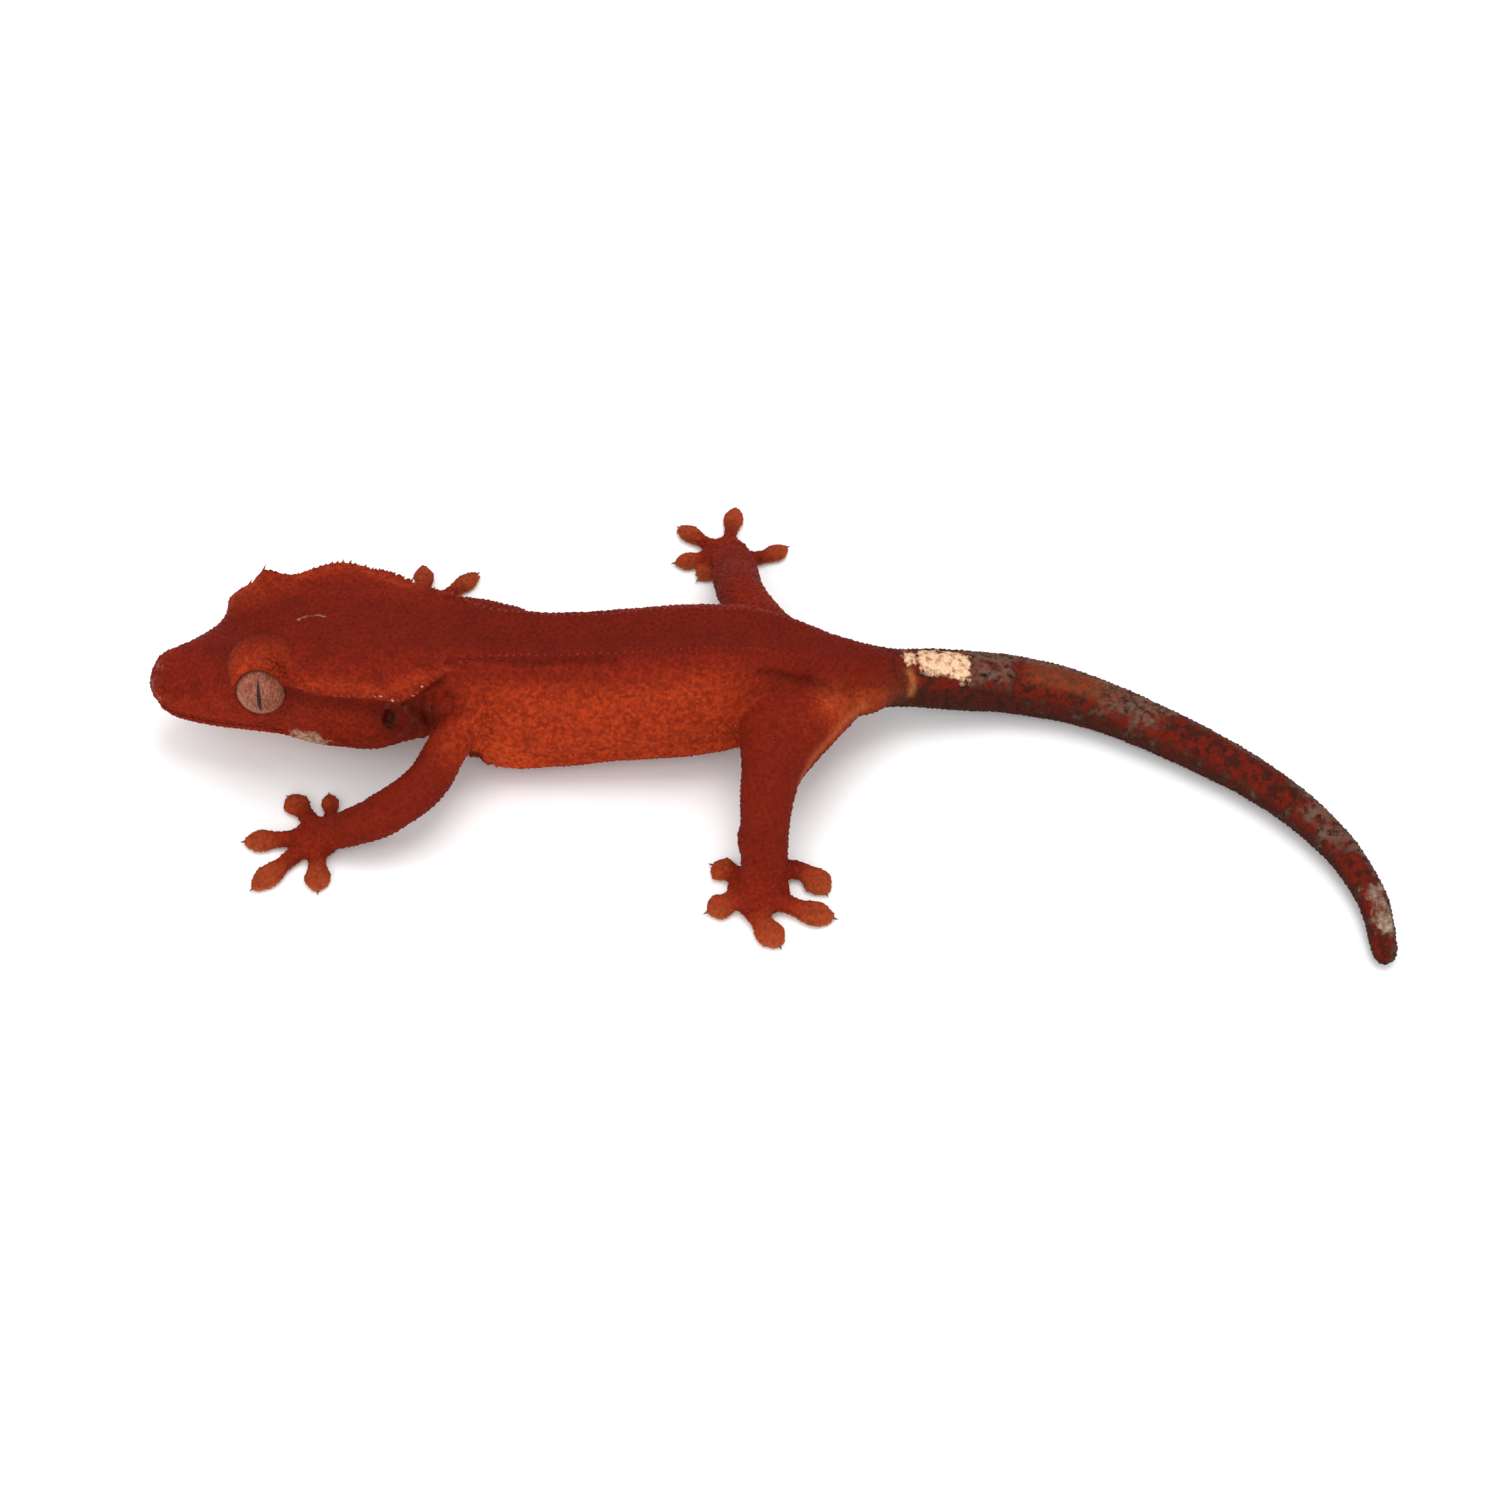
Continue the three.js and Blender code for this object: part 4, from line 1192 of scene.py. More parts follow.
        # Painted shade in the gaps between the granules: each granule's edge is darkened towards the shadow
        # colour
        gap_shade = add(Kind.TIMES, add(Kind.STEP, cells, 0.35, 0.75), 0.14)
        colour = add(Kind.MIX, gap_shade, colour, linear(self.shadow), blend_type="MULTIPLY")
        lift = add(Kind.BUMP, add(Kind.MINUS, 1.0, cells), 0.35, self.granule_lift_mm * MM)
        finish = {"Base Color": colour, "Roughness": self.roughness, "IOR": 1.45, "Specular IOR Level": 0.05}
        wire(tree, shader, {**finish, "Normal": lift})
        return material


@dataclass(frozen=True)
class SpineKeratin:
    """Thin horny skin of the ridge teeth: the skin's red, paler and drier at some tips."""

    name: str = "spine_keratin"
    root: str = "#7E2414"
    tip: str = "#C9936A"
    wear_mm: float = 1.4
    roughness: float = 0.6

    def make(self) -> bpy.types.Material:
        """Builds the material from the attribute tip, which is 1 at a tooth's point.

        Returns:
            The material.
        """
        material, tree, shader = surface(self.name)
        add = partial(node, tree)
        tip = add(Kind.VALUES, attribute_name="tip")
        wear = add(Kind.CLOUD, add(Kind.PLACE), 1 / (self.wear_mm * MM), 2.0)
        share = add(Kind.STEP, add(Kind.TIMES, tip, add(Kind.PLUS, wear, 0.4)), 0.15, 0.8)
        colour = add(Kind.MIX, share, linear(self.root), linear(self.tip))
        wire(tree, shader, {"Base Color": colour, "Roughness": self.roughness, "Specular IOR Level": 0.1})
        return material


@dataclass(frozen=True)
class ClawHorn:
    """Claw keratin: dark brown, smooth and a little glossy, lighter at the root."""

    name: str = "claw_keratin"
    root: str = "#7A3B20"
    tip: str = "#34190F"
    roughness: float = 0.3

    def make(self) -> bpy.types.Material:
        """Builds the material from the attribute tip, which is 1 at a claw's point.

        Returns:
            The material.
        """
        material, tree, shader = surface(self.name)
        add = partial(node, tree)
        share = add(Kind.STEP, add(Kind.VALUES, attribute_name="tip"), 0.1, 0.7)
        colour = add(Kind.MIX, share, linear(self.root), linear(self.tip))
        wire(tree, shader, {"Base Color": colour, "Roughness": self.roughness})
        return material


@dataclass(frozen=True)
class LivingEye:
    """A gecko's eye: veined tan iris with an upright slit, under a wet clear cornea.

    Sizes are shares of the eyeball's radius.
    """

    name: str = "veined_iris_under_cornea"
    iris: str = "#9A5A42"
    shade: str = "#703C2B"
    vein: str = "#40211A"
    rim: str = "#1E0C08"
    pupil: str = "#26110A"
    slit_half_height: float = 0.66
    slit_half_width: float = 0.02
    slit_wave: float = 0.09
    rim_from: float = 0.74
    rim_to: float = 0.86

    def make(self) -> bpy.types.Material:
        """Builds the material from the attribute iris: across, up and towards the gaze, by the radius.

        Returns:
            The material.
        """
        material, tree, shader = surface(self.name)
        add = partial(node, tree)
        local = add(Kind.AXES, attribute_name="iris")
        across, up, _ = add(Kind.SPLIT_AXES, local).node.outputs
        stretched = add(Kind.STRETCH, local, (9.0, 3.2, 3.0))
        veins = add(Kind.STEP, add(Kind.CLOUD, stretched, 1.6, 6.0, 0.5, 1.2), 0.38, 0.62)
        colour = add(Kind.MIX, veins, linear(self.shade), linear(self.iris))
        web = add(Kind.LINE, add(Kind.STEP, add(Kind.NET, stretched, 1.5), 0.0, 0.09), -0.6, 0.6)
        colour = add(Kind.MIX, web, colour, linear(self.vein))
        radial = add(Kind.ROOT, add(Kind.LINE, across, across, add(Kind.TIMES, up, up)))
        colour = add(Kind.MIX, add(Kind.STEP, radial, self.rim_from, self.rim_to), colour, linear(self.rim))
        # The slit narrows to nothing at both ends, and its edges are wavy
        tall = add(Kind.TIMES, up, 1 / self.slit_half_height)
        room = add(Kind.MINUS, 1.0, add(Kind.TIMES, tall, tall))
        ripple = add(Kind.CLOUD, local, 9.0, 2.0)
        width = add(Kind.TIMES, room, add(Kind.LINE, ripple, self.slit_wave, self.slit_half_width))
        gap = add(Kind.MINUS, add(Kind.SIZE, across), width)
        colour = add(Kind.MIX, add(Kind.STEP, gap, -0.01, 0.015), linear(self.pupil), colour)
        ball = {"Base Color": colour, "Roughness": 0.35, "IOR": 1.38, "Specular IOR Level": 0.1}
        cornea = {"Coat Weight": 0.3, "Coat IOR": 1.36, "Coat Roughness": 0.04}
        wire(tree, shader, {**ball, **cornea})
        return material


def finish_piece(name: str, mesh: bpy.types.Mesh, material: bpy.types.Material,
                 nodes: Iterable[str] = ()) -> bpy.types.Object:
    """Makes a finished piece of a mesh, on the root body.

    Args:
        name: The piece's name.
        mesh: Its mesh, in metres.
        material: Its finish.
        nodes: The solids that it stands for.

    Returns:
        The piece.
    """
    piece = bpy.data.objects.new(name, mesh)
    bpy.context.scene.collection.objects.link(piece)
    mesh.materials.clear()
    mesh.materials.append(material)
    mesh.polygons.foreach_set("use_smooth", [True] * len(mesh.polygons))
    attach(piece, "root")
    nodes = list(nodes)
    if nodes:
        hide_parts(*nodes)
    log.info("%s: %d faces", name, len(mesh.polygons))
    return piece


@dataclass
class Skin:
    """The one skin over head, body, tail, limbs and toes."""

    trunk: Trunk
    limbs: list[Limb]
    toes: list[Toe]
    eye: EyeSizes
    voxel: float = 0.42
    palm_height: float = 1.05
    palm_half_height: float = 1.55
    joint_reach: float = 8.0
    web: tuple[float, float, float] = (31.0, -4.0, 8.8)
    web_reach: float = 7.0
    brow_reach: float = 7.0
    face_end: float = -21.0
    nostril: tuple[float, float, float] = (-52.0, 2.9, 10.7)
    ear: tuple[float, float, float] = (-26.2, 9.0, 11.1)
    mesh: bpy.types.Mesh | None = None
    tree: BVHTree | None = None
    strokes: StrokeField | None = None

    def raw(self) -> bmesh.types.BMesh:
        """All the lengths of flesh, overlapping, in millimetres.

        Returns:
            A mesh of its own.
        """
        bm = self.trunk.mesh()
        for member in (*self.limbs, *self.toes):
            absorb(bm, member.mesh())
        # Each palm is a low dome, cut flat at the floor
        for foot in FEET.values():
            pad = bmesh.new()
            place = Matrix.Translation((*foot.palm, self.palm_height))
            shape = place @ Matrix.Diagonal((*foot.span, self.palm_half_height, 1.0))
            bmesh.ops.create_uvsphere(pad, u_segments=24, v_segments=12, radius=1.0, matrix=shape)
            absorb(bm, pad)
        fold = bmesh.new()
        turned = Matrix.Rotation(math.radians(HIP_FOLD.turn), 4, "Z")
        shape = Matrix.Translation(HIP_FOLD.centre) @ turned @ Matrix.Diagonal((*HIP_FOLD.span, 1.0))
        bmesh.ops.create_uvsphere(fold, u_segments=32, v_segments=20, radius=1.0, matrix=shape)
        absorb(bm, fold)
        for flip in (-1, 1):
            centre, gaze = self.eye.frame(self.trunk, flip)
            absorb(bm, self.lid(centre, gaze))
            brow = bmesh.new()
            spot = Matrix.Translation(centre - gaze * self.eye.brow_inward + UP * self.eye.brow_up)
            size = self.eye.brow_radius
            bmesh.ops.create_uvsphere(brow, u_segments=40, v_segments=24, radius=size, matrix=spot)
            absorb(bm, brow)
        return bm

    def lid(self, centre: Vector, gaze: Vector) -> bmesh.types.BMesh:
        """The rim of skin round an eye, spun from a small circle.

        Args:
            centre: The eye's centre.
            gaze: The direction it looks in.

        Returns:
            A mesh of its own, in millimetres.
        """
        bm = bmesh.new()
        turn = Matrix.Rotation(math.pi / 2, 4, "X")
        place = Matrix.Translation((self.eye.lid_radius, 0, 0)) @ turn
        made = bmesh.ops.create_circle(bm, segments=12, radius=self.eye.lid_thickness, matrix=place)
        ring = [*{e for v in made["verts"] for e in v.link_edges}, *made["verts"]]
        about = {"cent": (0, 0, 0), "axis": (0, 0, 1), "angle": 2 * math.pi}
        bmesh.ops.spin(bm, geom=ring, **about, steps=48, use_merge=True)
        bmesh.ops.remove_doubles(bm, verts=bm.verts, dist=1e-4)
        bmesh.ops.recalc_face_normals(bm, faces=bm.faces)
        facing = gaze.to_track_quat("Z", "Y").to_matrix().to_4x4()
        place = Matrix.Translation(centre + gaze * self.eye.lid_out) @ facing
        bmesh.ops.transform(bm, matrix=place, verts=bm.verts)
        return bm

    def fused(self, bm: bmesh.types.BMesh) -> bmesh.types.BMesh:
        """Fuses overlapping closed forms into one closed surface of even small faces.

        Args:
            bm: The forms in millimetres, which are freed.

        Returns:
            A mesh of its own, in millimetres.
        """
        mesh = bpy.data.meshes.new("raw_flesh")
        bm.to_mesh(mesh)
        bm.free()
        carrier = bpy.data.objects.new("raw_flesh", mesh)
        bpy.context.scene.collection.objects.link(carrier)
        modifier = carrier.modifiers.new("fuse", "REMESH")
        modifier.mode = "VOXEL"
        modifier.voxel_size = self.voxel
        modifier.adaptivity = 0.0
        out = bpy.data.meshes.new_from_object(carrier.evaluated_get(bpy.context.evaluated_depsgraph_get()))
        bpy.data.objects.remove(carrier)
        bpy.data.meshes.remove(mesh)
        fine = bmesh.new()
        fine.from_mesh(out)
        bpy.data.meshes.remove(out)
        return fine

    def build(self) -> bpy.types.Mesh:
        """Fuses, smooths and carves the skin.

        Returns:
            Its mesh, in metres.
        """
        bm = self.fused(self.raw())
        soften(bm, bm.verts, 1)
        joints = [Vector(limb.sizes.path[k]) for limb in self.limbs for k in (0, 1)]
        soften(bm, self.near(bm.verts, joints, self.joint_reach), 6)
        soften(bm, self.near(bm.verts, [Vector(self.web)], self.web_reach), 22)
        # Finer faces on the head, for the small forms of the face
        head = [e for e in bm.edges if all(v.co.x < self.face_end - 1 and v.co.z > 2.6 for v in e.verts)]
        bmesh.ops.subdivide_edges(bm, edges=head, cuts=1, use_grid_fill=True, smooth=0.0)
        face = [v for v in bm.verts if v.co.x < self.face_end and v.co.z > 2.4]
        soften(bm, face, 2)
        eyes = [self.eye.frame(self.trunk, flip) for flip in (-1, 1)]
        domes = [centre - gaze * self.eye.brow_inward for centre, gaze in eyes]
        soften(bm, self.near(face, domes, self.brow_reach), 8)
        self.carve(bm)
        for v in bm.verts:
            v.co.z = max(v.co.z, 0.0)
        bmesh.ops.recalc_face_normals(bm, faces=bm.faces)
        self.tree = BVHTree.FromBMesh(bm)
        bmesh.ops.scale(bm, vec=(MM, MM, MM), verts=bm.verts)
        self.mesh = bpy.data.meshes.new("skin")
        bm.to_mesh(self.mesh)
        bm.free()
        return self.mesh

    @staticmethod
    def near(verts: Iterable[bmesh.types.BMVert], spots: Sequence[Vector],
             reach: float) -> list[bmesh.types.BMVert]:
        """The points that lie within a reach of any of some spots."""
        return [v for v in verts if any((v.co - spot).length < reach for spot in spots)]

    def carve(self, bm: bmesh.types.BMesh) -> None:
        """Presses in mouth, nostrils, ears and folds, and raises lips, folds and small lumps.

        Args:
            bm: The skin in millimetres.
        """
        bm.normal_update()
        self.strokes = StrokeField(self.trunk, BVHTree.FromBMesh(bm))
        nostrils, ears = (
            [self.trunk.place(x, flip * out, height) for flip in (-1, 1)]
            for x, out, height in (self.nostril, self.ear)
        )
        eyes = [self.eye.frame(self.trunk, flip) for flip in (-1, 1)]
        for v in bm.verts:
            p = v.co
            push = 0.07 * noise.noise(p * 0.45) + 0.035 * noise.noise(p * 1.7) - self.strokes.depth(p)
            push += self.lips(p) + self.holes(p, nostrils, ears) + self.folds(p)
            v.co = p + v.normal * push
            if p.x < -33.0:
                for centre, gaze in eyes:
                    v.co = self.opened(v.co, centre, gaze)

    def lips(self, p: Vector) -> float:
        """How far the mouth's line presses in a point of the skin, and the lips beside it raise it.

        Args:
            p: The point in millimetres.

        Returns:
            The push outward in millimetres.
        """
        if p.x >= -28.0 or not 4.5 < p.z < 11.5:
            return 0.0
        away = p.z - along([m[0] for m in MOUTH], [m[1] for m in MOUTH], p.x)
        lip = ridge(away, 0.75, 0.5) + ridge(away, -0.7, 0.5)
        return float(smooth_step(-28.5, -30.5, p.x)) * (0.16 * lip - 0.5 * ridge(away, 0.0, 0.2))

    def holes(self, p: Vector, nostrils: Sequence[Vector], ears: Sequence[Vector]) -> float:
        """How far nostrils and ears press in a point of the skin, and the nostrils' rims raise it.

        Args:
            p: The point in millimetres.
            nostrils: Their centres.
            ears: Their centres.

        Returns:
            The push outward in millimetres.
        """
        push = 0.0
        if p.x < self.nostril[0] + 2.0:
            for hole in nostrils:
                reach = (p - hole).length
                push += 0.14 * ridge(reach, 0.85, 0.3) - 0.55 * ridge(reach, 0.0, 0.42)
        if -28.0 < p.x < -22.0:
            for hole in ears:
                away = p - hole
                reach = Vector((away.x / 0.55, away.y / 1.6, away.z / 1.2)).length
                push -= math.exp(-reach ** 4)
        return push

    def folds(self, p: Vector) -> float:
        """How far the folds of the neck, and the one along the flank's lower edge, move a point outward.

        Args:
            p: The point in millimetres.

        Returns:
            The push outward in millimetres.
        """
        push = 0.0
        out = abs(p.y)
        if -21.0 < p.x < -12.0 and out > 3.5 and p.z < 14:
            wave = math.sin((p.x + 0.25 * out + noise.noise(p * 0.3)) * 4.2)
            push += 0.2 * wave * float(band(6.0, 8.0, 2.5, out))
        if -10.0 < p.x < 19.0 and out > 6.0 and 1.5 < p.z < 8.0:
            line = 4.2 + 0.09 * p.x + 0.5 * noise.noise(Vector((p.x * 0.3, 0, 0)))
            push += 0.3 * ridge(p.z, line, 0.7) - 0.22 * ridge(p.z, line + 1.6, 0.6)
        return push

    def opened(self, point: Vector, centre: Vector, gaze: Vector) -> Vector:
        """Where a skin point goes: behind the eyeball within the lids' opening, and over it elsewhere.

        Args:
            point: The point in millimetres.
            centre: The eye's centre.
            gaze: The direction it looks in.

        Returns:
            The moved point.
        """
        way = point - centre
        reach = way.length
        turn = math.degrees(way.angle(gaze))
        if reach > 6.0 or turn > 115.0:
            return point
        inside = 1 - float(smooth_step(self.eye.opening - 3.0, self.eye.opening + 4.0, turn))
        hidden = min(reach, self.eye.radius - 0.4)
        cover = max(reach, self.eye.radius + 0.3)
        return centre + way * ((cover + (hidden - cover) * inside) / reach)


@dataclass
class Seedling:
    """One small form that is repeated over the skin: its points and faces, by unit size."""

    points: np.ndarray
    faces: list[list[int]]

    @classmethod
    def granule(cls) -> "Seedling":
        """A low six-sided closed dome with its base below the skin.

        Returns:
            The form.
        """
        bm = bmesh.new()
        made = bmesh.ops.create_cone(bm, cap_ends=True, segments=6, radius1=1.0, radius2=0.55, depth=0.9)
        bmesh.ops.translate(bm, verts=made["verts"], vec=(0, 0, 0.1))
        return cls.taken(bm)

    @classmethod
    def tooth(cls) -> "Seedling":
        """A cone of six sides that leans back towards its point, one unit high.

        Returns:
            The form.
        """
        bm = bmesh.new()
        made = bmesh.ops.create_cone(bm, cap_ends=True, segments=6, radius1=1.0, radius2=0.04, depth=1.3)
        bmesh.ops.translate(bm, verts=made["verts"], vec=(0, 0, 0.35))
        sides = [e for e in bm.edges if abs(e.verts[0].co.z - e.verts[1].co.z) > 0.5]
        bmesh.ops.subdivide_edges(bm, edges=sides, cuts=3)
        for v in bm.verts:
            lift = max(0.0, v.co.z)
            v.co.x += 0.55 * lift * lift
        return cls.taken(bm)

    @classmethod
    def plate(cls) -> "Seedling":
        """A low rounded plate with its base below the skin.

        Returns:
            The form.
        """
        bm = bmesh.new()
        made = bmesh.ops.create_uvsphere(bm, u_segments=10, v_segments=6, radius=1.0)
        bmesh.ops.scale(bm, vec=(1, 1, 0.5), verts=made["verts"])
        return cls.taken(bm)

    @classmethod
    def taken(cls, bm: bmesh.types.BMesh) -> "Seedling":
        """Reads a mesh into points and faces, and frees it.

        Args:
            bm: The mesh.

        Returns:
            The form.
        """
        bmesh.ops.recalc_face_normals(bm, faces=bm.faces)
        bm.verts.index_update()
        points = np.array([v.co[:] for v in bm.verts])
        faces = [[v.index for v in f.verts] for f in bm.faces]
        bm.free()
        return cls(points, faces)

    def sown(self, name: str, frames: Sequence[np.ndarray]) -> bpy.types.Mesh:
        """Joins a copy of the form at every frame into one mesh.

        Args:
            name: The mesh's name.
            frames: Matrices of four rows and columns, in millimetres.

        Returns:
            The joined mesh, in metres.
        """
        stack = np.array(frames)
        local = np.c_[self.points, np.ones(len(self.points))]
        world = np.einsum("nij,kj->nki", stack, local)[:, :, :3] * MM
        count = len(self.points)
        loops = np.concatenate([np.array(f) for f in self.faces])
        sizes = np.array([len(f) for f in self.faces])
        all_loops = (loops[None, :] + (np.arange(len(stack)) * count)[:, None]).ravel()
        all_sizes = np.tile(sizes, len(stack))
        mesh = bpy.data.meshes.new(name)
        mesh.vertices.add(len(stack) * count)
        mesh.vertices.foreach_set("co", world.astype(np.float32).ravel())
        mesh.loops.add(len(all_loops))
        mesh.loops.foreach_set("vertex_index", all_loops.astype(np.int32))
        mesh.polygons.add(len(all_sizes))
        starts = np.concatenate([[0], np.cumsum(all_sizes)[:-1]])
        mesh.polygons.foreach_set("loop_start", starts.astype(np.int32))
        mesh.update(calc_edges=True)
        mesh.validate()
        return mesh

    def patch(self, mesh: bpy.types.Mesh, roots: Sequence[tuple[float, float]]) -> None:
        """Gives each copy a small patch at its root's place on the unwrap.

        Args:
            mesh: The joined mesh.
            roots: Each copy's place on the unwrap.
        """
        layer = mesh.uv_layers.new(name="OFBake")
        spread = self.points[:, :2] / np.abs(self.points[:, :2]).max() * 0.0015
        loops = np.concatenate([np.array(f) for f in self.faces])
        uv = np.array(roots)[:, None, :] + spread[loops][None, :, :]
        layer.data.foreach_set("uv", uv.astype(np.float32).ravel())

    def grade(self, mesh: bpy.types.Mesh, strengths: Sequence[float]) -> None:
        """Stores the attribute tip on each copy, from 0 at its root to its own strength at its point.

        Args:
            mesh: The joined mesh.
            strengths: One strength for each copy.
        """
        rise = np.clip(self.points[:, 2] / self.points[:, 2].max(), 0, 1)
        layer = mesh.attributes.new("tip", "FLOAT", "POINT")
        layer.data.foreach_set("value", np.outer(strengths, rise).astype(np.float32).ravel())


def stand(root: Vector, up: Vector, ahead: Vector, across: float, long: float, high: float) -> np.ndarray:
    """A frame that stands a small form on the skin.

    Args:
        root: Where it stands, in millimetres.
        up: The way it points.
        ahead: The way that its own X points, before it is squared to up.
        across: Its scale across.
        long: Its scale along.
        high: Its scale in height.

    Returns:
        A matrix of four rows and columns.
    """
    z = up.normalized()
    x = (ahead - z * ahead.dot(z)).normalized()
    y = z.cross(x)
    frame = np.eye(4)
    frame[:3, 0], frame[:3, 1], frame[:3, 2], frame[:3, 3] = x * long, y * across, z * high, root
    return frame


@dataclass
class Granules:
    """The fine raised scales that cover the skin, in three pieces."""

    skin: Skin
    atlas: Atlas
    markings: Markings
    pitch: float = 0.62
    draws: int = 110000
    lowest: float = 0.32
    front_end: float = -17.0
    rear_start: float = 22.0

    def roots(self) -> list[tuple[Vector, Vector]]:
        """Evenly scattered points of the skin, at least a share of the pitch apart.

        Returns:
            Each point, in millimetres, with its normal.
        """
        draw = Random(SEED)
        mesh = self.skin.mesh
        mesh.calc_loop_triangles()
        co = np.empty(len(mesh.vertices) * 3, np.float32)
        mesh.vertices.foreach_get("co", co)
        co = co.reshape(-1, 3) / MM
        index = np.empty(len(mesh.loop_triangles) * 3, np.int32)
        mesh.loop_triangles.foreach_get("vertices", index)
        corners = co[index.reshape(-1, 3)]
        cross = np.cross(corners[:, 1] - corners[:, 0], corners[:, 2] - corners[:, 0])
        area = np.linalg.norm(cross, axis=1) / 2
        rng = np.random.default_rng(SEED)
        picks = rng.choice(len(area), self.draws, p=area / area.sum())
        a, b = rng.random(len(picks)), rng.random(len(picks))
        over = a + b > 1
        a[over], b[over] = 1 - a[over], 1 - b[over]
        tri = corners[picks]
        spots = tri[:, 0] + (tri[:, 1] - tri[:, 0]) * a[:, None] + (tri[:, 2] - tri[:, 0]) * b[:, None]
        normals = cross[picks] / (2 * area[picks][:, None] + 1e-12)
        steps = list(product((-1, 0, 1), repeat=3))
        taken: dict[tuple[int, int, int], list[tuple[float, float, float]]] = {}
        kept = []
        for spot, normal in zip(spots.tolist(), normals.tolist()):
            if spot[2] < self.lowest:
                continue
            key = tuple(int(math.floor(c / self.pitch)) for c in spot)
            room = self.room(spot)
            close = any(
                sum((p - q) ** 2 for p, q in zip(spot, other)) < room
                for dx, dy, dz in steps
                for other in taken.get((key[0] + dx, key[1] + dy, key[2] + dz), ())
            )
            if not close:
                taken.setdefault(key, []).append(spot)
                kept.append((Vector(spot), Vector(normal)))
        draw.shuffle(kept)
        return kept

    def room(self, spot: Sequence[float]) -> float:
        """The squared distance that a granule keeps, smaller on face and feet."""
        small = 0.8 if spot[0] < -30 or spot[2] < 2.6 else 0.95
        return (self.pitch * small) ** 2

    def build(self, material: bpy.types.Material) -> None:
        """Scatters the granules and makes their pieces.

        Args:
            material: The skin's own finish.
        """
        draw = Random(SEED + 1)
        groups: dict[str, list] = {f"granules_{where}": [] for where in ("front", "middle", "rear")}
        form = Seedling.granule()
        eyes = [self.skin.eye.frame(self.skin.trunk, flip) for flip in (-1, 1)]
        for root, normal in self.roots():
            if any((root - c - g * 1.6).length < 3.1 for c, g in eyes):
                continue
            row, angle = self.atlas.locate(root)
            size = 0.2 + 0.09 * draw.random()
            if row[0] is Part.TOE or root.x < -40:
                size *= 0.72
            turn = Vector((draw.uniform(-1, 1), draw.uniform(-1, 1), draw.uniform(-1, 1)))
            frame = stand(root, normal, turn, size, size, 0.12 + 0.06 * draw.random())
            rear = "granules_middle" if root.x < self.rear_start else "granules_rear"
            name = "granules_front" if root.x < self.front_end else rear
            groups[name].append((frame, self.atlas.unwrap(row, angle), root))
        for name, items in groups.items():
            mesh = form.sown(name, [i[0] for i in items])
            form.patch(mesh, [i[1] for i in items])
            self.markings.paint(mesh, np.array([i[2][:] for i in items]), len(form.points))
            finish_piece(name, mesh, material)


@dataclass
class RidgeSpines:
    """The rows of teeth from behind each eye to the rump, and the lashes over each eye."""

    skin: Skin
    atlas: Atlas
    pitch_head: float = 0.78
    pitch_back: float = 0.92
    head_end: float = -19.0

    def snapped(self, point: Vector) -> tuple[Vector, Vector]:
        """The nearest point of the skin and its normal."""
        return self.skin.tree.find_nearest(point)[:2]

    def build(self, material: bpy.types.Material) -> None:
        """Makes both rows as one piece, and the lashes as another.

        Args:
            material: The teeth's finish.
        """
        draw = Random(SEED + 2)
        self.rows(draw, material)
        self.lashes(draw, material)

    def rows(self, draw: Random, material: bpy.types.Material) -> None:
        """Makes the rows of teeth.

        Args:
            draw: The random draws.
            material: The teeth's finish.
        """
        trunk = self.skin.trunk
        frames, roots, dryness = [], [], []
        xs, heights, widths = zip(*SPINES)
        for flip in (-1, 1):
            x = xs[0]
            while x < xs[-1]:
                on_head = x < self.head_end
                half = trunk.half_section(x - BODY[0].x)
                wander = 0.12 * draw.uniform(-1, 1)
                root, normal = self.snapped(trunk.place(x, flip * (half[1][0] + wander), half[1][1]))
                out = trunk.place(x, float(flip), 0) - trunk.place(x, 0, 0)
                lean = normal * 0.6 + out * (0.8 if on_head else 0.35) + UP * (0.35 if on_head else 0.8)
                lean.normalize()
                height = along(xs, heights, x) * draw.uniform(0.75, 1.2)
                wide = along(xs, widths, x) * draw.uniform(0.85, 1.1)
                frames.append(stand(root - lean * 0.05, lean, Vector((1, 0, 0)), wide, wide * 1.25, height))
                roots.append(root)
                # Some teeth over the ear are dry and pale, and those of the back hardly are
                dry = -29 < x < self.head_end - 2 and draw.random() < 0.4
                dryness.append(draw.uniform(0.5, 1.2) if dry else draw.uniform(0.0, 0.4 if on_head else 0.12))
                x += (self.pitch_head if on_head else self.pitch_back) * draw.uniform(0.85, 1.15)
        self.sow("ridge_spines", frames, roots, dryness, material)

    def lashes(self, draw: Random, material: bpy.types.Material) -> None:
        """Makes the lashes over both eyes.

        Args:
            draw: The random draws.
            material: The teeth's finish.
        """
        trunk = self.skin.trunk
        frames, roots = [], []
        for flip in (-1, 1):
            out = trunk.place(-39, float(flip), 0) - trunk.place(-39, 0, 0)
            lean = (out + UP * 0.45 + Vector((0.3, 0, 0))).normalized()
            for x, length in LASHES:
                half = trunk.half_section(x - BODY[0].x)
                root, _ = self.snapped(trunk.place(x, flip * half[1][0], half[1][1]))
                high = length * draw.uniform(0.9, 1.1)
                frames.append(stand(root - lean * 0.15, lean, Vector((1, 0, 0)), 0.24, 0.3, high))
                roots.append(root)
        self.sow("lashes", frames, roots, [0.35] * len(frames), material)

    def sow(self, name: str, frames: Sequence[np.ndarray], roots: Sequence[Vector], dryness: Sequence[float],
            material: bpy.types.Material) -> None:
        """Joins teeth into one finished piece.

        Args:
            name: The piece's name.
            frames: Where each tooth stands.
            roots: Each tooth's root on the skin.
            dryness: How pale each tooth's point is.
            material: The teeth's finish.
        """
        form = Seedling.tooth()
        mesh = form.sown(name, frames)
        form.patch(mesh, [self.atlas.unwrap(*self.atlas.locate(root)) for root in roots])
        form.grade(mesh, dryness)
        finish_piece(name, mesh, material)


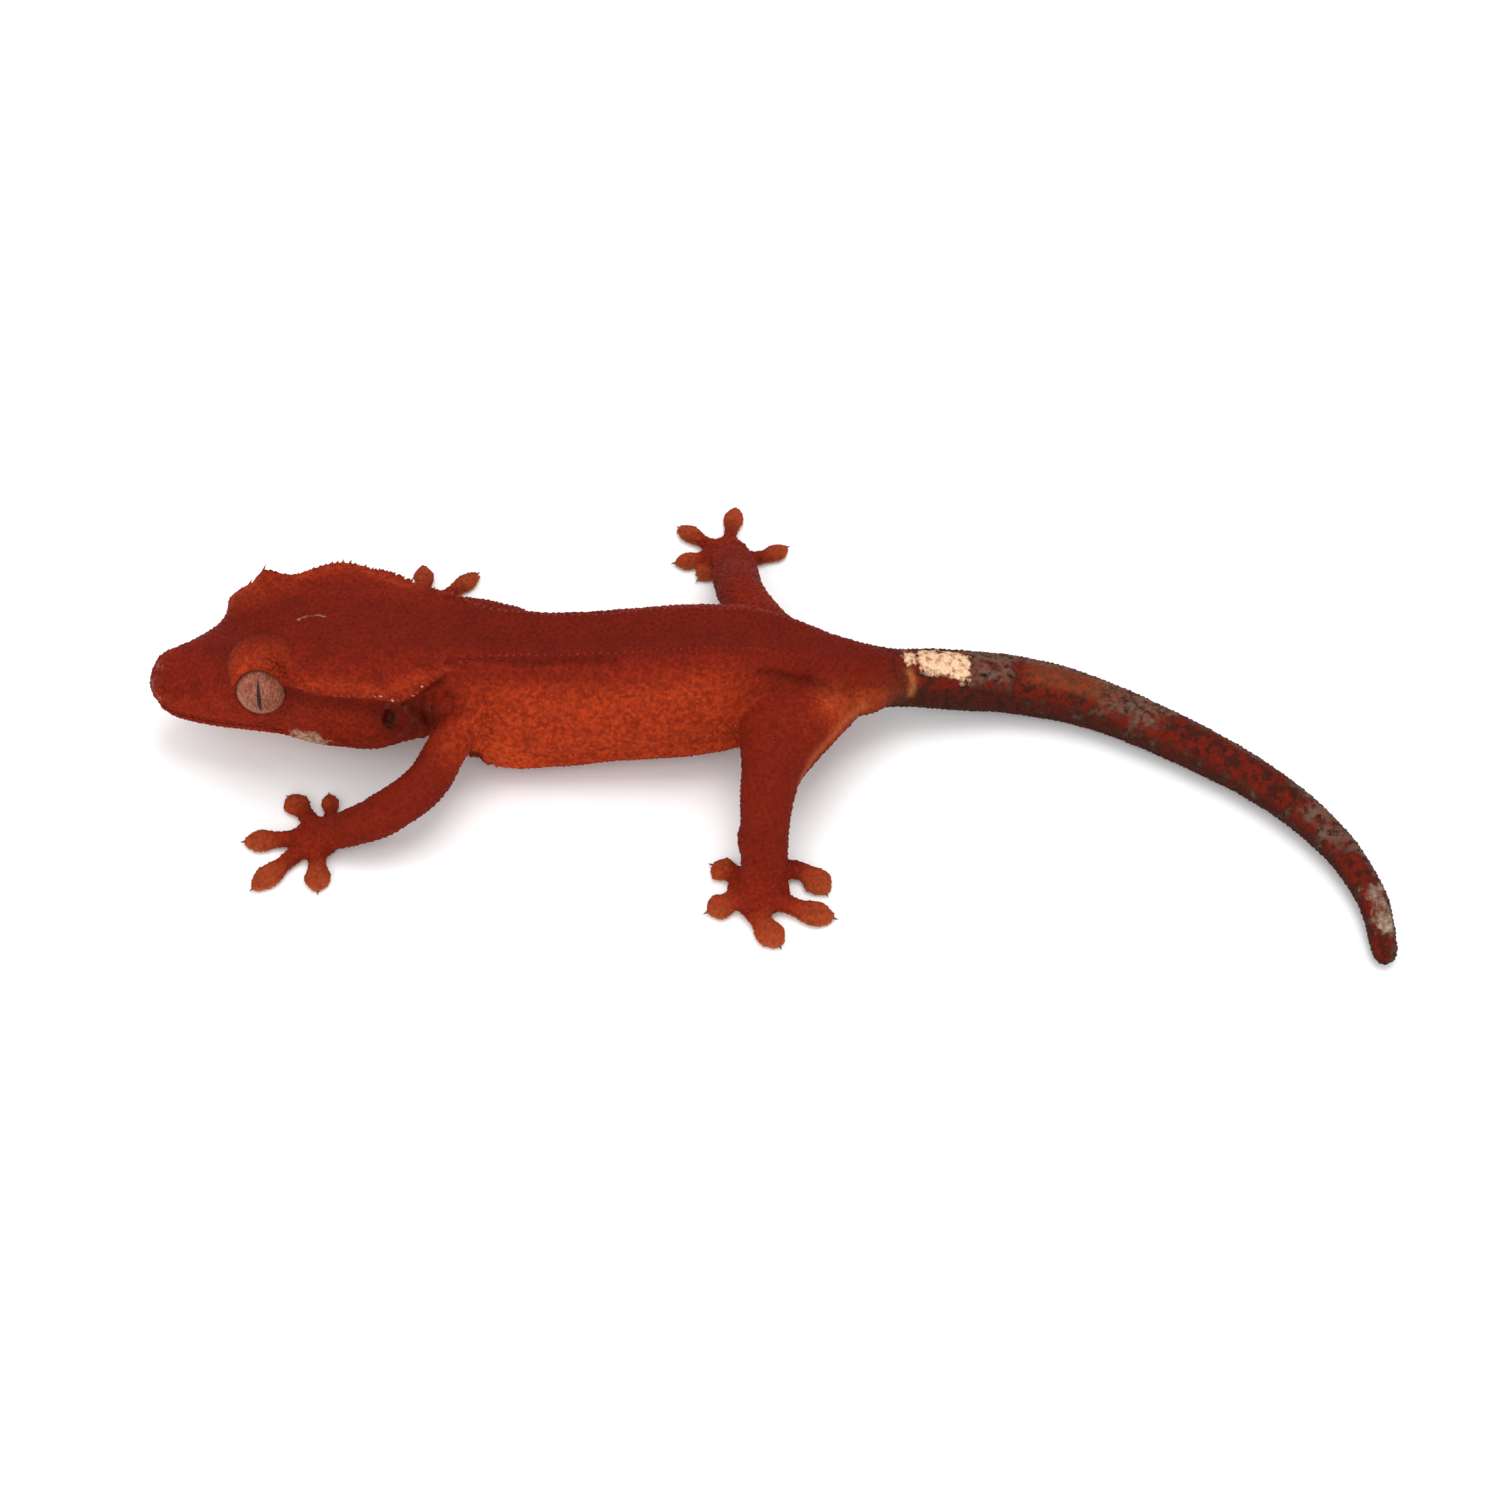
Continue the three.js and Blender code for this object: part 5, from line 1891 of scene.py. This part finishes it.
@dataclass
class FaceScales:
    """The larger plates of the face: along both lips, and in a ring round each eye."""

    skin: Skin
    atlas: Atlas
    markings: Markings

    def build(self, material: bpy.types.Material) -> None:
        """Makes the plates as one piece.

        Args:
            material: The skin's own finish.
        """
        draw = Random(SEED + 3)
        trunk = self.skin.trunk
        form = Seedling.plate()
        frames, places, roots = [], [], []

        def add(point: Vector, ahead: Vector, across: float, long: float, high: float) -> None:
            """Stands one plate on the skin.

            Args:
                point: A point near its root, in millimetres.
                ahead: The way that its long side runs.
                across: Its half width.
                long: Its half length.
                high: Its height.
            """
            root, normal, _, _ = self.skin.tree.find_nearest(point)
            frames.append(stand(root, normal, ahead, across, long, high))
            places.append(self.atlas.unwrap(*self.atlas.locate(root)))
            roots.append(root)

        for flip in (-1, 1):
            for shift in (0.52, -0.5):
                x = -53.2
                while x < -31.0:
                    long = 0.46 - 0.006 * (x + 53)
                    level = along([m[0] for m in MOUTH], [m[1] for m in MOUTH], x) + shift
                    point = trunk.place(x, flip * trunk.half_width(x, level), level)
                    ahead = trunk.place(x + 0.5, flip * trunk.half_width(x + 0.5, level), level) - point
                    add(point, ahead, 0.34, long * draw.uniform(0.95, 1.05), 0.2)
                    x += long * 1.85
            centre, gaze = self.skin.eye.frame(trunk, flip)
            side = gaze.cross(UP).normalized()
            upward = side.cross(gaze)
            for k in range(40):
                a = 2 * math.pi * k / 40
                way = side * math.cos(a) + upward * math.sin(a)
                tangent = upward * math.cos(a) - side * math.sin(a)
                add(centre + gaze * 2.0 + way * 3.2, tangent, 0.18, 0.22 * draw.uniform(0.85, 1.1), 0.2)
        mesh = form.sown("face_plates", frames)
        form.patch(mesh, places)
        self.markings.paint(mesh, np.array([r[:] for r in roots]), len(form.points))
        finish_piece("face_plates", mesh, material)


@dataclass
class Eyes:
    """Both eyeballs."""

    trunk: Trunk
    sizes: EyeSizes

    def build(self, material: bpy.types.Material) -> None:
        """Makes the eyeballs, each with its own iris coordinates.

        Args:
            material: The eye's finish.
        """
        for side, flip in (("left", -1), ("right", 1)):
            centre, gaze = self.sizes.frame(self.trunk, flip)
            bm = bmesh.new()
            bmesh.ops.create_uvsphere(bm, u_segments=64, v_segments=48, radius=self.sizes.radius)
            for v in bm.verts:
                lift = max(0.0, v.co.z / self.sizes.radius - 0.55)
                v.co *= 1 + 0.12 * lift * lift
            turn = gaze.to_track_quat("Z", "Y").to_matrix()
            upright = turn @ Vector((0, 1, 0))
            roll = math.atan2(upright.dot(gaze.cross(UP).normalized()), upright.dot(UP))
            place = turn @ Matrix.Rotation(roll, 3, "Z")
            iris = [v.co / self.sizes.radius for v in bm.verts]
            bmesh.ops.rotate(bm, verts=bm.verts, cent=(0, 0, 0), matrix=place)
            bmesh.ops.translate(bm, verts=bm.verts, vec=centre)
            bmesh.ops.scale(bm, vec=(MM, MM, MM), verts=bm.verts)
            mesh = bpy.data.meshes.new(f"eyeball_{side}")
            bm.to_mesh(mesh)
            bm.free()
            layer = mesh.attributes.new("iris", "FLOAT_VECTOR", "POINT")
            layer.data.foreach_set("vector", np.array([i[:] for i in iris], np.float32).ravel())
            finish_piece(f"eyeball_{side}", mesh, material, [f"eye_{side}"])


@dataclass
class Claws:
    """The twenty claws, as one piece for each hand and foot."""

    toes: dict[str, list[Toe]]
    half_width: float = 0.3
    half_height: float = 0.34
    length: float = 0.8

    def build(self, material: bpy.types.Material) -> None:
        """Makes the claws.

        Args:
            material: The claws' finish.
        """
        form = Seedling.tooth()
        for name, toes in self.toes.items():
            frames = []
            for toe in toes:
                heading = toe.heading(0.95)
                root = toe.centre(0.93) + UP * 0.5
                size = (self.half_width, self.half_height, self.length)
                frames.append(stand(root, heading + UP * 0.05, -UP, *size))
            mesh = form.sown(f"claws_{name}", frames)
            form.grade(mesh, [1.0] * len(frames))
            finish_piece(f"claws_{name}", mesh, material)


@dataclass(frozen=True)
class Studio:
    """The pale floor, soft lights and the camera at the photograph's angle."""

    target: tuple[float, float, float] = (18.3, -3.8, 0.0)
    distance: float = 350.0
    elevation: float = 50.0
    lens: float = 68.9
    sky: float = 0.88
    # Each light's name, place and side in metres, and power in watts
    lamps: tuple[tuple[str, tuple[float, float, float], float, float], ...] = (
        ("key", (0.12, 0.14, 0.85), 0.6, 3.4),
        ("fill", (-0.15, -0.75, 0.55), 1.0, 4.6),
    )

    def build(self) -> None:
        """Makes floor, lights, sky and camera."""
        bm = bmesh.new()
        bmesh.ops.create_grid(bm, x_segments=1, y_segments=1, size=3.0)
        mesh = bpy.data.meshes.new("floor")
        bm.to_mesh(mesh)
        bm.free()
        floor = bpy.data.objects.new("floor", mesh)
        bpy.context.scene.collection.objects.link(floor)
        material, tree, shader = surface("matt_white_floor")
        wire(tree, shader, {"Base Color": linear("#F4F4F4"), "Roughness": 0.9})
        mesh.materials.append(material)
        for lamp in self.lamps:
            self.light(*lamp)
        world = bpy.data.worlds.new("soft_sky")
        world.use_nodes = True
        sky = world.node_tree.nodes["Background"]
        wire(world.node_tree, sky, {"Color": (1, 1, 1, 1), "Strength": self.sky})
        bpy.context.scene.world = world
        bpy.context.scene.view_settings.view_transform = "Standard"
        camera = bpy.data.objects.new("camera", bpy.data.cameras.new("camera"))
        bpy.context.scene.collection.objects.link(camera)
        angle = math.radians(self.elevation)
        back = Vector((0, -math.cos(angle), math.sin(angle)))
        camera.location = (Vector(self.target) + back * self.distance) * MM
        camera.rotation_euler = (-back).to_track_quat("-Z", "Y").to_euler()
        camera.data.lens = self.lens
        camera.data.sensor_width = 36.0
        camera.data.clip_start, camera.data.clip_end = 0.01, 20.0
        bpy.context.scene.camera = camera

    def light(self, name: str, place: tuple[float, float, float], size: float, power: float) -> None:
        """Adds a square soft light that faces the animal.

        Args:
            name: Its name.
            place: Where it hangs, in metres.
            size: Its side, in metres.
            power: Its power, in watts.
        """
        data = bpy.data.lights.new(name, "AREA")
        data.shape, data.size, data.energy = "SQUARE", size, power
        lamp = bpy.data.objects.new(name, data)
        lamp.location = place
        lamp.rotation_euler = (Vector((0.018, 0, 0)) - Vector(place)).to_track_quat("-Z", "Y").to_euler()
        bpy.context.scene.collection.objects.link(lamp)


def main() -> None:
    """Builds the animal and its studio."""
    logging.basicConfig(level=logging.INFO, format="%(message)s")
    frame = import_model()
    trunk = Trunk()
    eye = EyeSizes()
    limbs = [Limb(sizes) for sizes in LIMBS.values()]
    toes = {name: [Toe(foot, sizes) for sizes in foot.toes] for name, foot in FEET.items()}
    all_toes = [toe for group in toes.values() for toe in group]
    atlas = Atlas(trunk, limbs, all_toes)
    markings = Markings(atlas, eye)
    hide = GeckoSkin().make()
    skin = Skin(trunk, limbs, all_toes, eye)
    mesh = skin.build()
    points = np.empty(len(mesh.vertices) * 3, np.float32)
    mesh.vertices.foreach_get("co", points)
    markings.strokes = skin.strokes
    markings.paint(mesh, points.reshape(-1, 3).astype(float) / MM)
    flesh = [name for name in frame["nodes"] if not name.startswith("eye_")]
    finish_piece("skin", mesh, hide, flesh)
    Eyes(trunk, eye).build(LivingEye().make())
    RidgeSpines(skin, atlas).build(SpineKeratin().make())
    FaceScales(skin, atlas, markings).build(hide)
    Claws(toes).build(ClawHorn().make())
    Granules(skin, atlas, markings).build(hide)
    Studio().build()


if __name__ == "__main__":
    main()
